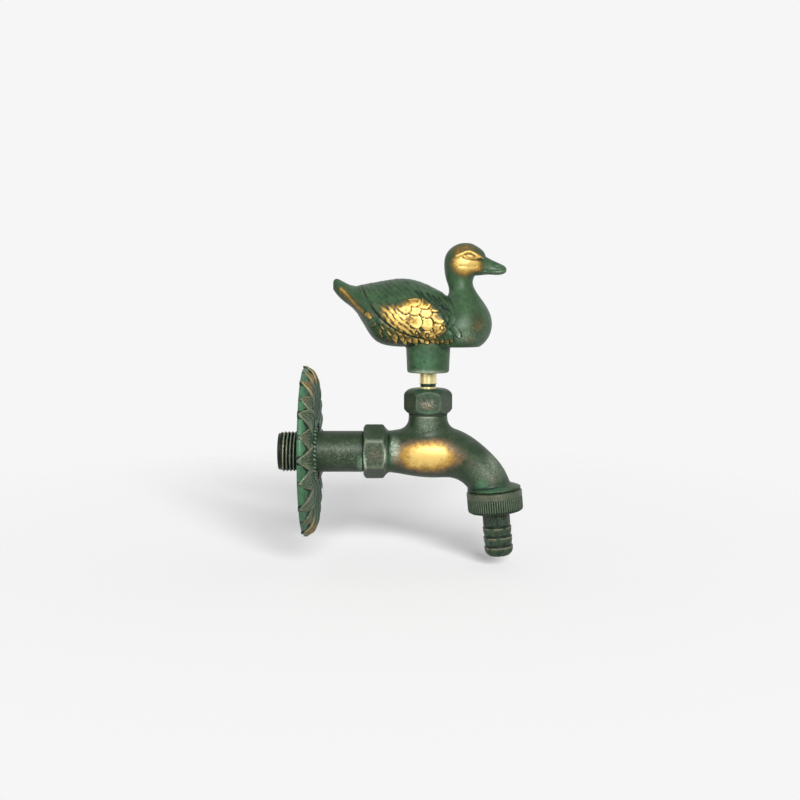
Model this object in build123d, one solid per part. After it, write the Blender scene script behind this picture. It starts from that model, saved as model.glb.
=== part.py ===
"""Decorative garden tap with a duck handle: a brass compression tap on a wall nipple,
with a leaf rosette, a rising spindle and a knurled hose union.

Frame: the origin is the centre of the wall plane, on the inlet axis. +X points away from the wall,
+Z is up, and the duck looks along +X when the tap is closed. All sizes are in millimetres.
"""

import os
from math import cos, radians, sin

from build123d import *

# General clearances
THREAD_CLEARANCE = 0.05
SEAT_CLEARANCE = 0.05
RUNNING_CLEARANCE = 0.08
FAR = 300.0

# Inlet nipple: half-inch pipe with a parallel pipe thread towards the wall
WALL_THREAD_R = 10.48
WALL_THREAD_LENGTH = 13.0
THREAD_CHAMFER = 1.2
NIPPLE_R = 10.65
NIPPLE_BORE_R = 7.5
RELIEF_R = 9.4
RELIEF_LENGTH = 2.4
SOCKET_THREAD_R = 10.4
SOCKET_DEPTH = 9.0
JOINT_GAP = 0.45

# Wall rosette: a dished shell with a layer of raised leaves
ROSETTE_R = 44.5
UNDER_LEAF_INSET = 1.1
ROSETTE_RIM_HEIGHT = 1.4
ROSETTE_SHOULDER_R = 33.5
ROSETTE_SHOULDER_HEIGHT = 6.0
ROSETTE_HUB_R = 14.4
ROSETTE_HUB_LENGTH = 6.6
ROSETTE_HUB_STEP = 1.2
ROSETTE_WALL = 2.0
FOOT_RING_INSET = 3.9
FOOT_RING_WIDTH = 3.2
LEAF_COUNT = 12
LEAF_HEIGHT = 1.0
LEAF_BASE_R = 16.6
LEAF_WIDEST_R = 31.0
LEAF_GAP_DEG = 1.5
VEIN_WIDTH = 1.3
VEIN_DEPTH = 0.55
VEIN_END_GAP = 4.0
BEAD_R = 1.3

# Tap body: hex socket, throat, swollen valve chamber and curved spout
HEX_START = 30.9
HEX_LENGTH = 11.3
HEX_ACROSS_FLATS = 25.0
HEX_CORNER_ROUND = 1.5
HEX_END_R = 12.4
THROAT_R = 11.0
HEX_TO_THROAT = 3.8
HEX_TO_VALVE = 22.1
CHAMBER_R = 13.55
SPOUT_START = 3.9
SPOUT_BEND_R = 31.3
SPOUT_R = 10.65
SPOUT_TAPER_DEG = 46.0
SPOUT_END_DEG = 74.0
NECK_R = 10.05
NECK_TOP = 19.1
NECK_BLEND_R = 6.0
INLET_BORE_R = 7.0
INLET_BORE_WALL = 4.0
UNDER_SEAT_R = 4.2
UNDER_SEAT_RUN = 6.0
UNDER_SEAT_DEPTH = 9.5
CHAMBER_FLOOR = 0.0
SEAT_HEIGHT = 1.0
SEAT_LIP_R = 6.2
SEAT_HOLE_R = 5.0
NECK_BORE_R = 8.35
WATERWAY_R = 5.6
WATERWAY_Z = 6.3
WATERWAY_LEVEL = 9.0
WATERWAY_BEND_R = 9.0

# Outlet: a flange and a male thread, tilted away from the wall
OUTLET_REACH = 34.4
OUTLET_DROP = 19.9
OUTLET_TILT = 5.0
OUTLET_FLANGE_R = 14.0
OUTLET_FLANGE_EDGE = 1.1
OUTLET_FLANGE_CONE = 2.0
OUTLET_FLANGE_TOP_R = 8.6
OUTLET_THREAD_R = 10.45
OUTLET_THREAD_LENGTH = 6.5

# Bonnet: domed hexagon with a threaded shank
GASKET_THICKNESS = 0.8
BONNET_ACROSS_FLATS = 22.0
BONNET_HEIGHT = 13.0
BONNET_FOOT_R = 10.4
BONNET_FOOT_HEIGHT = 2.2
BONNET_SIDE_HEIGHT = 7.4
BONNET_TOP_R = 7.2
BONNET_SHANK_LENGTH = 6.3
BONNET_GLAND_LENGTH = 8.4
O_RING_SECTION_R = 0.7
O_RING_GROOVE_EXTRA = 0.05
O_RING_INSETS = (2.7, 5.7)

# Spindle and valve: two and a quarter turns lift the washer
STEM_R = 4.38
SPINDLE_THREAD_R = 5.55
SPINDLE_LEAD = 2.5
OPEN_TURNS = 2.25
OPEN_STOP_GAP = 0.1
STEM_GROOVE_RISE = 1.35
STEM_GROOVE_WIDTH = 1.5
STEM_GROOVE_DEPTH = 0.35
TANG_SQUARE = 6.2
TANG_SINK = 0.6
TANG_LENGTH = 9.0
WASHER_R = 6.2
WASHER_THICKNESS = 3.0
JUMPER_R = 6.6
JUMPER_THICKNESS = 2.4
JUMPER_PIN_R = 2.0
JUMPER_PIN_LENGTH = 7.0
JUMPER_STUD_R = 1.9
JUMPER_NUT_ACROSS_FLATS = 7.0
JUMPER_NUT_HEIGHT = 2.2
STUD_END = 0.6

# Duck handle: boss, body, wings, neck with head, and bill
STEM_SHOWING = 8.0
BOSS_HEIGHT = 13.3
BOSS_TOP_R = 11.4
BOSS_BOTTOM_R = 10.8
BOSS_EDGE_ROUND = 1.2
BOSS_BURIAL = 3.0
SOCKET_TOP_GAP = 0.2
DUCK_HALF_WIDTH = 18.8
DUCK_TAIL_REACH = 48.7
DUCK_BREAST_REACH = 32.7
DUCK_BILL_REACH = 39.9
DUCK_BACK_HEIGHT = 34.5
DUCK_CROWN_HEIGHT = 53.0
DUCK_HEAD_HALF_WIDTH = 8.2
WING_RISE = 0.9
GRUB_R = 2.0
GRUB_LENGTH = 6.0
GRUB_RISE = 5.1
GRUB_KEY = 2.0
GRUB_KEY_DEPTH = 2.0

# Hose union: knurled nut, barbed tail and flat washer
NUT_R = 14.4
NUT_TOP_GAP = 0.4
NUT_HEIGHT = 11.2
NUT_LIP = 1.8
NUT_LIP_HOLE_R = 7.5
NUT_TOP_ROUND = 0.8
NUT_BOTTOM_ROUND = 2.0
NUT_THREAD_CLEARANCE = 0.2
KNURL_COUNT = 72
KNURL_TOP_GAP = 3.8
KNURL_DEPTH = 0.35
KNURL_HALF_WIDTH = 0.45
HOSE_WASHER_THICKNESS = 1.45
HOSE_WASHER_INSET = 0.85
TAIL_BORE_R = 5.2
TAIL_FLANGE_INSET = 1.05
TAIL_FLANGE_THICKNESS = 1.75
TAIL_NECK_R = 7.1
TAIL_FIRST_BARB = 19.3
BARB_COUNT = 3
BARB_PITCH = 5.1
BARB_TOP_R = 7.5
BARB_BOTTOM_R = 7.05
TAIL_END_ROUND = 1.4

# Values worked out from the sizes above
HEX_END = HEX_START + HEX_LENGTH
THROAT_X = HEX_END + HEX_TO_THROAT
VALVE_X = HEX_END + HEX_TO_VALVE
FOOT_RING_R = ROSETTE_R - FOOT_RING_INSET
HOSE_WASHER_R = OUTLET_THREAD_R - HOSE_WASHER_INSET
TAIL_FLANGE_R = OUTLET_THREAD_R - TAIL_FLANGE_INSET
BONNET_BASE = NECK_TOP + GASKET_THICKNESS
BONNET_TOP = BONNET_BASE + BONNET_HEIGHT
GLAND_SHOULDER = BONNET_TOP - BONNET_GLAND_LENGTH
LIFT = SPINDLE_LEAD * OPEN_TURNS
SEAT_TOP = CHAMBER_FLOOR + SEAT_HEIGHT
WASHER_BOTTOM = SEAT_TOP + SEAT_CLEARANCE
WASHER_TOP = WASHER_BOTTOM + WASHER_THICKNESS
JUMPER_TOP = WASHER_TOP + JUMPER_THICKNESS
SPINDLE_BOTTOM = JUMPER_TOP + SEAT_CLEARANCE
SPINDLE_SHOULDER = GLAND_SHOULDER - LIFT - OPEN_STOP_GAP
BOSS_BOTTOM = BONNET_TOP + STEM_SHOWING
DUCK_BASE = BOSS_BOTTOM + BOSS_HEIGHT
STEM_GROOVE_Z = BONNET_TOP + STEM_GROOVE_RISE
TANG_START = BOSS_BOTTOM + TANG_SINK
TANG_TOP = TANG_START + TANG_LENGTH
OUTLET_X = VALVE_X + OUTLET_REACH
NUT_BOTTOM = NUT_TOP_GAP + NUT_HEIGHT
HOSE_WASHER_TOP = OUTLET_THREAD_LENGTH + SEAT_CLEARANCE
TAIL_TOP = HOSE_WASHER_TOP + HOSE_WASHER_THICKNESS
TAIL_END = TAIL_FIRST_BARB + BARB_COUNT * BARB_PITCH
OUTLET = Plane(
    origin=(OUTLET_X, 0, -OUTLET_DROP),
    x_dir=(0, 1, 0),
    z_dir=(sin(radians(OUTLET_TILT)), 0, -cos(radians(OUTLET_TILT))),
)
VALVE = Plane(origin=(VALVE_X, 0, 0), x_dir=(1, 0, 0), z_dir=(0, 0, 1))
DUCK = Plane(origin=(VALVE_X, 0, DUCK_BASE), x_dir=(1, 0, 0), z_dir=(0, 0, 1))
INLET = Plane(origin=(0, 0, 0), x_dir=(0, 1, 0), z_dir=(1, 0, 0))


def turned(plane, outline):
    """Turns a closed outline of (radius, height) points about a plane's own axis."""
    profile = Plane.XZ * make_face(Polyline(*outline, close=True))
    return plane * revolve(profile, Axis.Z)


def rod(plane, radius, start, end):
    """A plain cylinder along a plane's axis, from one height to another."""
    return turned(plane, [(0, start), (radius, start), (radius, end), (0, end)])


def tube(plane, inner, outer, start, end):
    """A plain ring along a plane's axis."""
    return turned(plane, [(inner, start), (outer, start), (outer, end), (inner, end)])


def hexagon(plane, across_flats, start, end, turn=0.0, corner_round=0.0):
    """A hexagonal bar along a plane's axis."""
    outline = RegularPolygon(across_flats / 2, 6, major_radius=False, rotation=turn)
    if corner_round:
        outline = fillet(outline.vertices(), corner_round)
    return plane * Pos(0, 0, start) * extrude(outline, end - start)


def make_inlet_nipple():
    """Barrel nipple: wall thread, relief, plain pipe and the thread that screws into the body."""
    inner_end = HEX_START + SOCKET_DEPTH - JOINT_GAP
    pipe_end = HEX_START - JOINT_GAP
    outline = [
        (NIPPLE_BORE_R, -WALL_THREAD_LENGTH),
        (WALL_THREAD_R - THREAD_CHAMFER, -WALL_THREAD_LENGTH),
        (WALL_THREAD_R, THREAD_CHAMFER - WALL_THREAD_LENGTH),
        (WALL_THREAD_R, -JOINT_GAP),
        (RELIEF_R, -JOINT_GAP),
        (RELIEF_R, RELIEF_LENGTH),
        (NIPPLE_R, RELIEF_LENGTH),
        (NIPPLE_R, pipe_end),
        (SOCKET_THREAD_R, pipe_end),
        (SOCKET_THREAD_R, inner_end - THREAD_CHAMFER),
        (SOCKET_THREAD_R - THREAD_CHAMFER, inner_end),
        (NIPPLE_BORE_R, inner_end),
    ]
    return turned(INLET, outline)


def rosette_layer(rise, depth):
    """A dished ring: a cone from the hub and a rounded shoulder, lifted by rise and depth thick."""
    rim = Vector(ROSETTE_R + 1.0, ROSETTE_RIM_HEIGHT - 1.2 + rise)
    shoulder = Vector(ROSETTE_SHOULDER_R, ROSETTE_SHOULDER_HEIGHT + rise)
    hub = Vector(ROSETTE_HUB_R - 1.0, ROSETTE_HUB_LENGTH - ROSETTE_HUB_STEP + rise)
    back = Vector(0, -depth)
    front_cone = Line(hub, shoulder)
    front_round = TangentArc(shoulder, rim, tangent=shoulder - hub)
    back_cone = Line(hub + back, shoulder + back)
    back_round = TangentArc(shoulder + back, rim + back, tangent=shoulder - hub)
    ends = [Line(hub, hub + back), Line(rim, rim + back)]
    profile = make_face([front_cone, front_round, back_cone, back_round, *ends])
    return INLET * revolve(Plane.XZ * profile, Axis.Z)


def leaf_outline(tip_r, turn_deg):
    """A pointed leaf, drawn along local X and turned about the rosette's centre."""
    half_deg = 180.0 / LEAF_COUNT - LEAF_GAP_DEG / 2
    widest = (LEAF_WIDEST_R * cos(radians(half_deg)), LEAF_WIDEST_R * sin(radians(half_deg)))
    base_deg = half_deg * 0.86
    base = (LEAF_BASE_R * cos(radians(base_deg)), LEAF_BASE_R * sin(radians(base_deg)))
    flank = Spline(base, widest, (tip_r, 0), tangents=[(1, 0.25), (0.7, -0.7)])
    other_flank = mirror(flank, Plane.XZ)
    foot = Line(base, (base[0], -base[1]))
    return Rot(0, 0, turn_deg) * make_face([flank, other_flank, foot])


def make_wall_rosette():
    """Leaf rosette: a lobed dish on a foot ring, a raised layer of leaves with veins, and a bead ring."""
    step = 360.0 / LEAF_COUNT
    dish = rosette_layer(0.0, ROSETTE_WALL)
    under_tip_r = ROSETTE_R - UNDER_LEAF_INSET
    under_leaves = [leaf_outline(under_tip_r, step * (i + 0.5)) for i in range(LEAF_COUNT)]
    core = Circle(FOOT_RING_R + 0.4)
    lobes = Sketch() + [core, *under_leaves]
    dish = dish & (INLET * Pos(0, 0, -FAR / 2) * extrude(lobes, FAR))
    leaves = [leaf_outline(ROSETTE_R, step * i) for i in range(LEAF_COUNT)]
    veins = [
        Rot(0, 0, step * i) * Pos((LEAF_BASE_R + ROSETTE_R) / 2, 0)
        * Rectangle(ROSETTE_R - LEAF_BASE_R - 2 * VEIN_END_GAP, VEIN_WIDTH)
        for i in range(LEAF_COUNT)
    ]
    vein_layer = rosette_layer(LEAF_HEIGHT, VEIN_DEPTH)
    vein_cut = vein_layer & (INLET * Pos(0, 0, -FAR / 2) * extrude(Sketch() + veins, FAR))
    leaf_layer = rosette_layer(LEAF_HEIGHT, LEAF_HEIGHT + ROSETTE_WALL / 2)
    raised = leaf_layer & (INLET * Pos(0, 0, -FAR / 2) * extrude(Sketch() + leaves, FAR))
    raised = raised - vein_cut
    hub = tube(INLET, NIPPLE_R, ROSETTE_HUB_R, 0, ROSETTE_HUB_LENGTH)
    bead_ring = INLET * Pos(0, 0, ROSETTE_HUB_LENGTH - 0.2) * Torus(ROSETTE_HUB_R + BEAD_R / 2, BEAD_R)
    foot = tube(INLET, FOOT_RING_R - FOOT_RING_WIDTH, FOOT_RING_R, 0, ROSETTE_RIM_HEIGHT + 1.0)
    whole = dish + foot + hub + bead_ring + raised
    behind_wall = INLET * Pos(0, 0, -FAR / 2) * Box(FAR, FAR, FAR)
    pipe_hole = rod(INLET, NIPPLE_R + 0.2, RELIEF_LENGTH - SEAT_CLEARANCE, FAR)
    thread_hole = rod(INLET, WALL_THREAD_R + 0.1, -1, RELIEF_LENGTH + 1)
    return whole - behind_wall - pipe_hole - thread_hole


def spout_point(angle_deg):
    """A point of the spout's centre line, an arc that leaves the chamber level and bends down."""
    angle = radians(angle_deg)
    x = VALVE_X + SPOUT_START + SPOUT_BEND_R * sin(angle)
    z = -SPOUT_BEND_R * (1 - cos(angle))
    return x, z


def spout_radius(angle_deg):
    """The spout narrows smoothly from the chamber's size over the first part of the bend."""
    share = min(1.0, angle_deg / SPOUT_TAPER_DEG)
    ease = share * share * (3 - 2 * share)
    return CHAMBER_R + (SPOUT_R - CHAMBER_R) * ease


def round_section(x, z, heading_deg, radius):
    """A circle across the casting's centre line, which heads down by heading_deg."""
    heading = radians(heading_deg)
    plane = Plane(origin=(x, 0, z), x_dir=(0, 1, 0), z_dir=(cos(heading), 0, -sin(heading)))
    return plane * Circle(radius)


def body_shell():
    """Outside of the casting: throat, chamber and spout as one loft, with the valve neck blended on."""
    swell_x = (THROAT_X + VALVE_X) / 2
    swell_r = (THROAT_R + CHAMBER_R) / 2 + 0.25
    sections = [
        round_section(HEX_END - 2.0, 0, 0, THROAT_R),
        round_section(THROAT_X, 0, 0, THROAT_R),
        round_section(swell_x, 0, 0, swell_r),
        round_section(VALVE_X, 0, 0, CHAMBER_R),
    ]
    for angle in (14.0, 30.0, 46.0, 60.0, SPOUT_END_DEG):
        x, z = spout_point(angle)
        sections.append(round_section(x, z, angle, spout_radius(angle)))
    barrel = loft(sections)
    below_outlet = OUTLET * Pos(0, 0, FAR / 2) * Box(FAR, FAR, FAR)
    barrel = barrel - below_outlet
    neck = rod(VALVE, NECK_R, 0, NECK_TOP)
    joined = barrel + neck
    seam = joined.edges().filter_by(
        lambda e: abs(e.center().X - VALVE_X) < NECK_R and 5.0 < e.bounding_box().max.Z < NECK_TOP - 1.0
        and e.bounding_box().min.Z > 5.0
    )
    return fillet(seam, NECK_BLEND_R)


def inlet_hex():
    """The hexagon that takes a spanner, chamfered at both ends, with a cone down to the throat."""
    corner_r = HEX_ACROSS_FLATS / 2 / cos(radians(30))
    chamfer_length = (corner_r - HEX_END_R) * 0.6
    envelope = turned(
        INLET,
        [
            (0, HEX_START),
            (HEX_END_R, HEX_START),
            (corner_r, HEX_START + chamfer_length),
            (corner_r, HEX_END - chamfer_length),
            (HEX_END_R, HEX_END),
            (THROAT_R, HEX_END + HEX_END_R - THROAT_R),
            (0, HEX_END + HEX_END_R - THROAT_R),
        ],
    )
    bar = hexagon(INLET, HEX_ACROSS_FLATS, HEX_START, HEX_END, 30.0, HEX_CORNER_ROUND)
    cone = rod(INLET, HEX_END_R, HEX_END, HEX_END + HEX_END_R - THROAT_R)
    return envelope & (bar + cone)


def body_waterways():
    """All that is hollow: socket, inlet bore, way under the seat, seat hole, neck and spout."""
    socket = rod(INLET, SOCKET_THREAD_R + THREAD_CLEARANCE, HEX_START - 1, HEX_START + SOCKET_DEPTH)
    bore_end = VALVE_X - NECK_BORE_R - INLET_BORE_WALL
    inlet_bore = rod(INLET, INLET_BORE_R, HEX_START, bore_end)
    start = Vector(bore_end - UNDER_SEAT_RUN, 0, UNDER_SEAT_R - INLET_BORE_R)
    end = Vector(VALVE_X, 0, CHAMBER_FLOOR - UNDER_SEAT_DEPTH + UNDER_SEAT_R * 0.5)
    slope = Plane(origin=start, x_dir=(0, 1, 0), z_dir=end - start)
    under_seat = rod(slope, UNDER_SEAT_R, 0, (end - start).length)
    seat_hole = rod(VALVE, SEAT_HOLE_R, CHAMBER_FLOOR - UNDER_SEAT_DEPTH, SEAT_TOP + 1)
    neck_bore = rod(VALVE, NECK_BORE_R, SEAT_TOP, NECK_TOP + 1)
    seat_moat = tube(VALVE, SEAT_LIP_R, NECK_BORE_R, CHAMBER_FLOOR, SEAT_TOP)
    bend_x, bend_z = spout_point(50.0)
    outlet_end = OUTLET.from_local_coords(Vector(0, 0, OUTLET_THREAD_LENGTH + 2))
    route = FilletPolyline(
        (VALVE_X, 0, WATERWAY_Z),
        (VALVE_X + WATERWAY_LEVEL, 0, WATERWAY_Z),
        (bend_x, 0, bend_z),
        outlet_end,
        radius=WATERWAY_BEND_R,
    )
    spout_way = sweep(Plane(route @ 0, x_dir=(0, 1, 0), z_dir=route % 0) * Circle(WATERWAY_R), route)
    return [socket, inlet_bore, under_seat, seat_hole, neck_bore, seat_moat, spout_way]


def make_tap_body():
    """The brass casting: hex socket, chamber, neck, spout, outlet flange and outlet thread."""
    flange_base = -OUTLET_FLANGE_EDGE - OUTLET_FLANGE_CONE
    outlet = turned(
        OUTLET,
        [
            (0, flange_base),
            (OUTLET_FLANGE_TOP_R, flange_base),
            (OUTLET_FLANGE_R, -OUTLET_FLANGE_EDGE),
            (OUTLET_FLANGE_R, 0),
            (OUTLET_THREAD_R, 0),
            (OUTLET_THREAD_R, OUTLET_THREAD_LENGTH - 0.8),
            (OUTLET_THREAD_R - 0.8, OUTLET_THREAD_LENGTH),
            (0, OUTLET_THREAD_LENGTH),
        ],
    )
    body = body_shell() + inlet_hex() + outlet
    for hollow in body_waterways():
        body = body - hollow
    return body


def make_bonnet():
    """Headwork: hexagon with a domed top, threaded shank, spindle thread, gland bore and seal grooves."""
    corner_r = BONNET_ACROSS_FLATS / 2 / cos(radians(30))
    side_top = BONNET_BASE + BONNET_FOOT_HEIGHT + BONNET_SIDE_HEIGHT
    dome = ThreePointArc(
        (corner_r, side_top),
        (BONNET_TOP_R + (corner_r - BONNET_TOP_R) * 0.68, side_top + (BONNET_TOP - side_top) * 0.66),
        (BONNET_TOP_R, BONNET_TOP),
    )
    sides = Polyline(
        (BONNET_TOP_R, BONNET_TOP),
        (0, BONNET_TOP),
        (0, BONNET_BASE),
        (BONNET_FOOT_R, BONNET_BASE),
        (corner_r, BONNET_BASE + BONNET_FOOT_HEIGHT),
        (corner_r, side_top),
    )
    envelope = VALVE * revolve(Plane.XZ * make_face([dome, *sides.edges()]), Axis.Z)
    bar = hexagon(VALVE, BONNET_ACROSS_FLATS, BONNET_BASE, BONNET_TOP)
    shank_end = BONNET_BASE - GASKET_THICKNESS - BONNET_SHANK_LENGTH
    shank = rod(VALVE, NECK_BORE_R - THREAD_CLEARANCE, shank_end, BONNET_BASE + 0.5)
    bonnet = (envelope & bar) + shank
    bonnet = bonnet - rod(VALVE, SPINDLE_THREAD_R + 2 * RUNNING_CLEARANCE, shank_end - 1, GLAND_SHOULDER)
    bonnet = bonnet - rod(VALVE, STEM_R + RUNNING_CLEARANCE, GLAND_SHOULDER - 1, BONNET_TOP + 1)
    for inset in O_RING_INSETS:
        bonnet = bonnet - o_ring_groove(BONNET_TOP - inset)
    return bonnet


def o_ring_groove(height):
    """A square groove in the gland bore for one seal ring."""
    half = O_RING_SECTION_R + O_RING_GROOVE_EXTRA
    outer = STEM_R + RUNNING_CLEARANCE + 2 * half
    return tube(VALVE, STEM_R, outer, height - half, height + half)


def make_spindle_o_rings():
    """Two seal rings that sit in the bonnet's grooves and wipe the spindle."""
    centre_r = STEM_R + RUNNING_CLEARANCE + O_RING_SECTION_R
    ring = VALVE * Pos(0, 0, BONNET_TOP) * Torus(centre_r, O_RING_SECTION_R)
    return [Pos(0, 0, -inset) * ring for inset in O_RING_INSETS]


def make_bonnet_gasket():
    """Flat fibre ring between the neck and the bonnet."""
    return tube(VALVE, NECK_BORE_R + 0.1, NECK_R, NECK_TOP, BONNET_BASE)


def make_spindle():
    """Rising spindle: threaded foot with the jumper's hole, stem with a groove, and a square tang."""
    groove_r = STEM_R - STEM_GROOVE_DEPTH
    foot_chamfer = 0.8
    outline = [
        (0, SPINDLE_BOTTOM),
        (SPINDLE_THREAD_R - foot_chamfer, SPINDLE_BOTTOM),
        (SPINDLE_THREAD_R, SPINDLE_BOTTOM + foot_chamfer),
        (SPINDLE_THREAD_R, SPINDLE_SHOULDER - foot_chamfer),
        (SPINDLE_THREAD_R - foot_chamfer, SPINDLE_SHOULDER),
        (STEM_R, SPINDLE_SHOULDER),
        (STEM_R, STEM_GROOVE_Z - STEM_GROOVE_WIDTH / 2),
        (groove_r, STEM_GROOVE_Z - STEM_GROOVE_WIDTH / 2),
        (groove_r, STEM_GROOVE_Z + STEM_GROOVE_WIDTH / 2),
        (STEM_R, STEM_GROOVE_Z + STEM_GROOVE_WIDTH / 2),
        (STEM_R, TANG_START),
        (0, TANG_START),
    ]
    tang = VALVE * Pos(0, 0, (TANG_START + TANG_TOP) / 2) * Box(TANG_SQUARE, TANG_SQUARE, TANG_LENGTH)
    tang = tang & rod(VALVE, STEM_R, TANG_START, TANG_TOP)
    jumper_hole = rod(
        VALVE,
        JUMPER_PIN_R + RUNNING_CLEARANCE,
        SPINDLE_BOTTOM - 1,
        JUMPER_TOP + JUMPER_PIN_LENGTH + 0.5,
    )
    return turned(VALVE, outline) + tang - jumper_hole


def make_jumper_valve():
    """Jumper: a plate with a pin that turns in the spindle and a stud that carries the washer."""
    stud_bottom = WASHER_BOTTOM - JUMPER_NUT_HEIGHT - STUD_END
    outline = [
        (0, stud_bottom),
        (JUMPER_STUD_R, stud_bottom),
        (JUMPER_STUD_R, WASHER_TOP),
        (JUMPER_R, WASHER_TOP),
        (JUMPER_R, JUMPER_TOP - 0.6),
        (JUMPER_R - 0.6, JUMPER_TOP),
        (JUMPER_PIN_R, JUMPER_TOP),
        (JUMPER_PIN_R, JUMPER_TOP + JUMPER_PIN_LENGTH),
        (0, JUMPER_TOP + JUMPER_PIN_LENGTH),
    ]
    return turned(VALVE, outline)


def make_jumper_washer():
    """The rubber washer that shuts on the seat."""
    return tube(VALVE, JUMPER_STUD_R + THREAD_CLEARANCE, WASHER_R, WASHER_BOTTOM, WASHER_TOP)


def make_jumper_nut():
    """The small nut under the washer, which passes inside the seat."""
    bottom = WASHER_BOTTOM - JUMPER_NUT_HEIGHT
    nut = hexagon(VALVE, JUMPER_NUT_ACROSS_FLATS, bottom, WASHER_BOTTOM)
    return nut - rod(VALVE, JUMPER_STUD_R + THREAD_CLEARANCE, bottom - 1, WASHER_BOTTOM + 1)


def egg_section(x, bottom, waterline, top, half_width):
    """A cross-section of the duck: two half ellipses that meet at the waterline, its widest place."""
    place = DUCK.location * Plane(origin=(x, 0, waterline), x_dir=(0, 1, 0), z_dir=(1, 0, 0)).location
    upper = EllipticalCenterArc((0, 0), half_width, top - waterline, start_angle=0, arc_size=180)
    lower = EllipticalCenterArc((0, 0), half_width, waterline - bottom, start_angle=180, arc_size=180)
    return place * make_face([upper, lower])


def duck_body(swell):
    """Body from the tail's tip to inside the breast, fattened by swell for the folded wings."""
    tail, wide, back = DUCK_TAIL_REACH, DUCK_HALF_WIDTH, DUCK_BACK_HEIGHT
    stations = [
        (-tail, back - 5.3, back - 3.1, back - 0.9, wide - 17.3),
        (-tail + 1.8, back - 7.7, back - 3.7, back + 0.4, wide - 15.0),
        (-tail + 6.4, back - 11.9, back - 6.7, back - 1.8, wide - 12.2),
        (-tail + 11.4, back - 16.4, back - 9.7, back - 3.3, wide - 9.2),
        (-tail + 16.4, 10.1, 20.8, back - 2.8, wide - 5.8),
        (-tail + 21.4, 3.4, 16.8, back - 1.9, wide - 3.0),
        (-tail + 28.4, 0.6, 14.8, back - 0.7, wide - 0.8),
        (-tail + 36.4, 0.0, 13.8, back, wide),
        (-4.3, 0.0, 13.8, back - 1.6, wide - 0.2),
        (3.7, 0.0, 13.3, back - 5.1, wide - 0.8),
        (11.7, 0.0, 12.3, back - 9.7, wide - 2.2),
        (19.7, 0.8, 11.8, back - 12.7, wide - 5.2),
    ]
    sections = [
        egg_section(x, bottom, waterline, top + swell / 2, half_width + swell)
        for x, bottom, waterline, top, half_width in stations
    ]
    return loft(sections)


def duck_neck():
    """Breast, neck and head: level ellipses stacked from the base to the crown."""
    front, crown, head = DUCK_BREAST_REACH, DUCK_CROWN_HEIGHT, DUCK_HEAD_HALF_WIDTH
    wide = DUCK_HALF_WIDTH
    stations = [
        (0.0, 1.7, front - 6.4, wide - 6.2),
        (3.8, -0.3, front - 2.4, wide - 3.2),
        (11.8, -0.3, front, wide - 1.6),
        (18.8, 3.7, front - 1.8, wide - 4.2),
        (crown - 28.2, 9.1, front - 5.7, wide - 8.6),
        (crown - 23.9, 10.6, front - 8.6, head - 0.8),
        (crown - 19.7, 9.5, front - 9.9, head - 1.6),
        (crown - 15.7, 8.5, front - 8.4, head - 1.0),
        (crown - 11.2, 8.1, front - 5.0, head),
        (crown - 6.7, 8.7, front - 3.4, head - 0.3),
        (crown - 3.2, 10.9, front - 5.6, head - 2.0),
        (crown - 0.8, 14.5, front - 9.4, head - 4.8),
        (crown, 17.7, front - 12.8, head - 7.3),
    ]
    sections = [
        DUCK.location * Pos((low + high) / 2, 0, z) * Ellipse((high - low) / 2, half_width)
        for z, low, high, half_width in stations
    ]
    return loft(sections)


def duck_bill():
    """Bill: deep at the face, flat and rounded at the tip."""
    tip, crown = DUCK_BILL_REACH, DUCK_CROWN_HEIGHT
    stations = [
        (tip - 17.2, crown - 15.9, crown - 12.7, crown - 4.2, 5.6),
        (tip - 11.2, crown - 16.2, crown - 13.6, crown - 6.6, 4.8),
        (tip - 6.7, crown - 16.2, crown - 14.2, crown - 8.9, 4.3),
        (tip - 2.7, crown - 16.1, crown - 14.3, crown - 10.7, 4.3),
        (tip - 0.8, crown - 15.4, crown - 13.9, crown - 11.8, 3.4),
        (tip, crown - 14.3, crown - 13.7, crown - 13.0, 1.6),
    ]
    return loft([egg_section(*station) for station in stations])


def wing_outline():
    """Side view of the folded wing: its edge runs from the rump down the flank and up to the breast."""
    tail, back = DUCK_TAIL_REACH, DUCK_BACK_HEIGHT
    lower_edge = Spline(
        (-tail + 13.0, back - 2.1),
        (-tail + 21.9, back - 16.7),
        (-14.3, 8.4),
        (-2.3, 5.4),
        (8.2, 10.8),
        (7.7, back - 9.7),
    )
    lid = Polyline(lower_edge @ 1, (7.7, back + 6.0), (-tail + 13.0, back + 6.0), lower_edge @ 0)
    return make_face([lower_edge, *lid.edges()])


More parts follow.
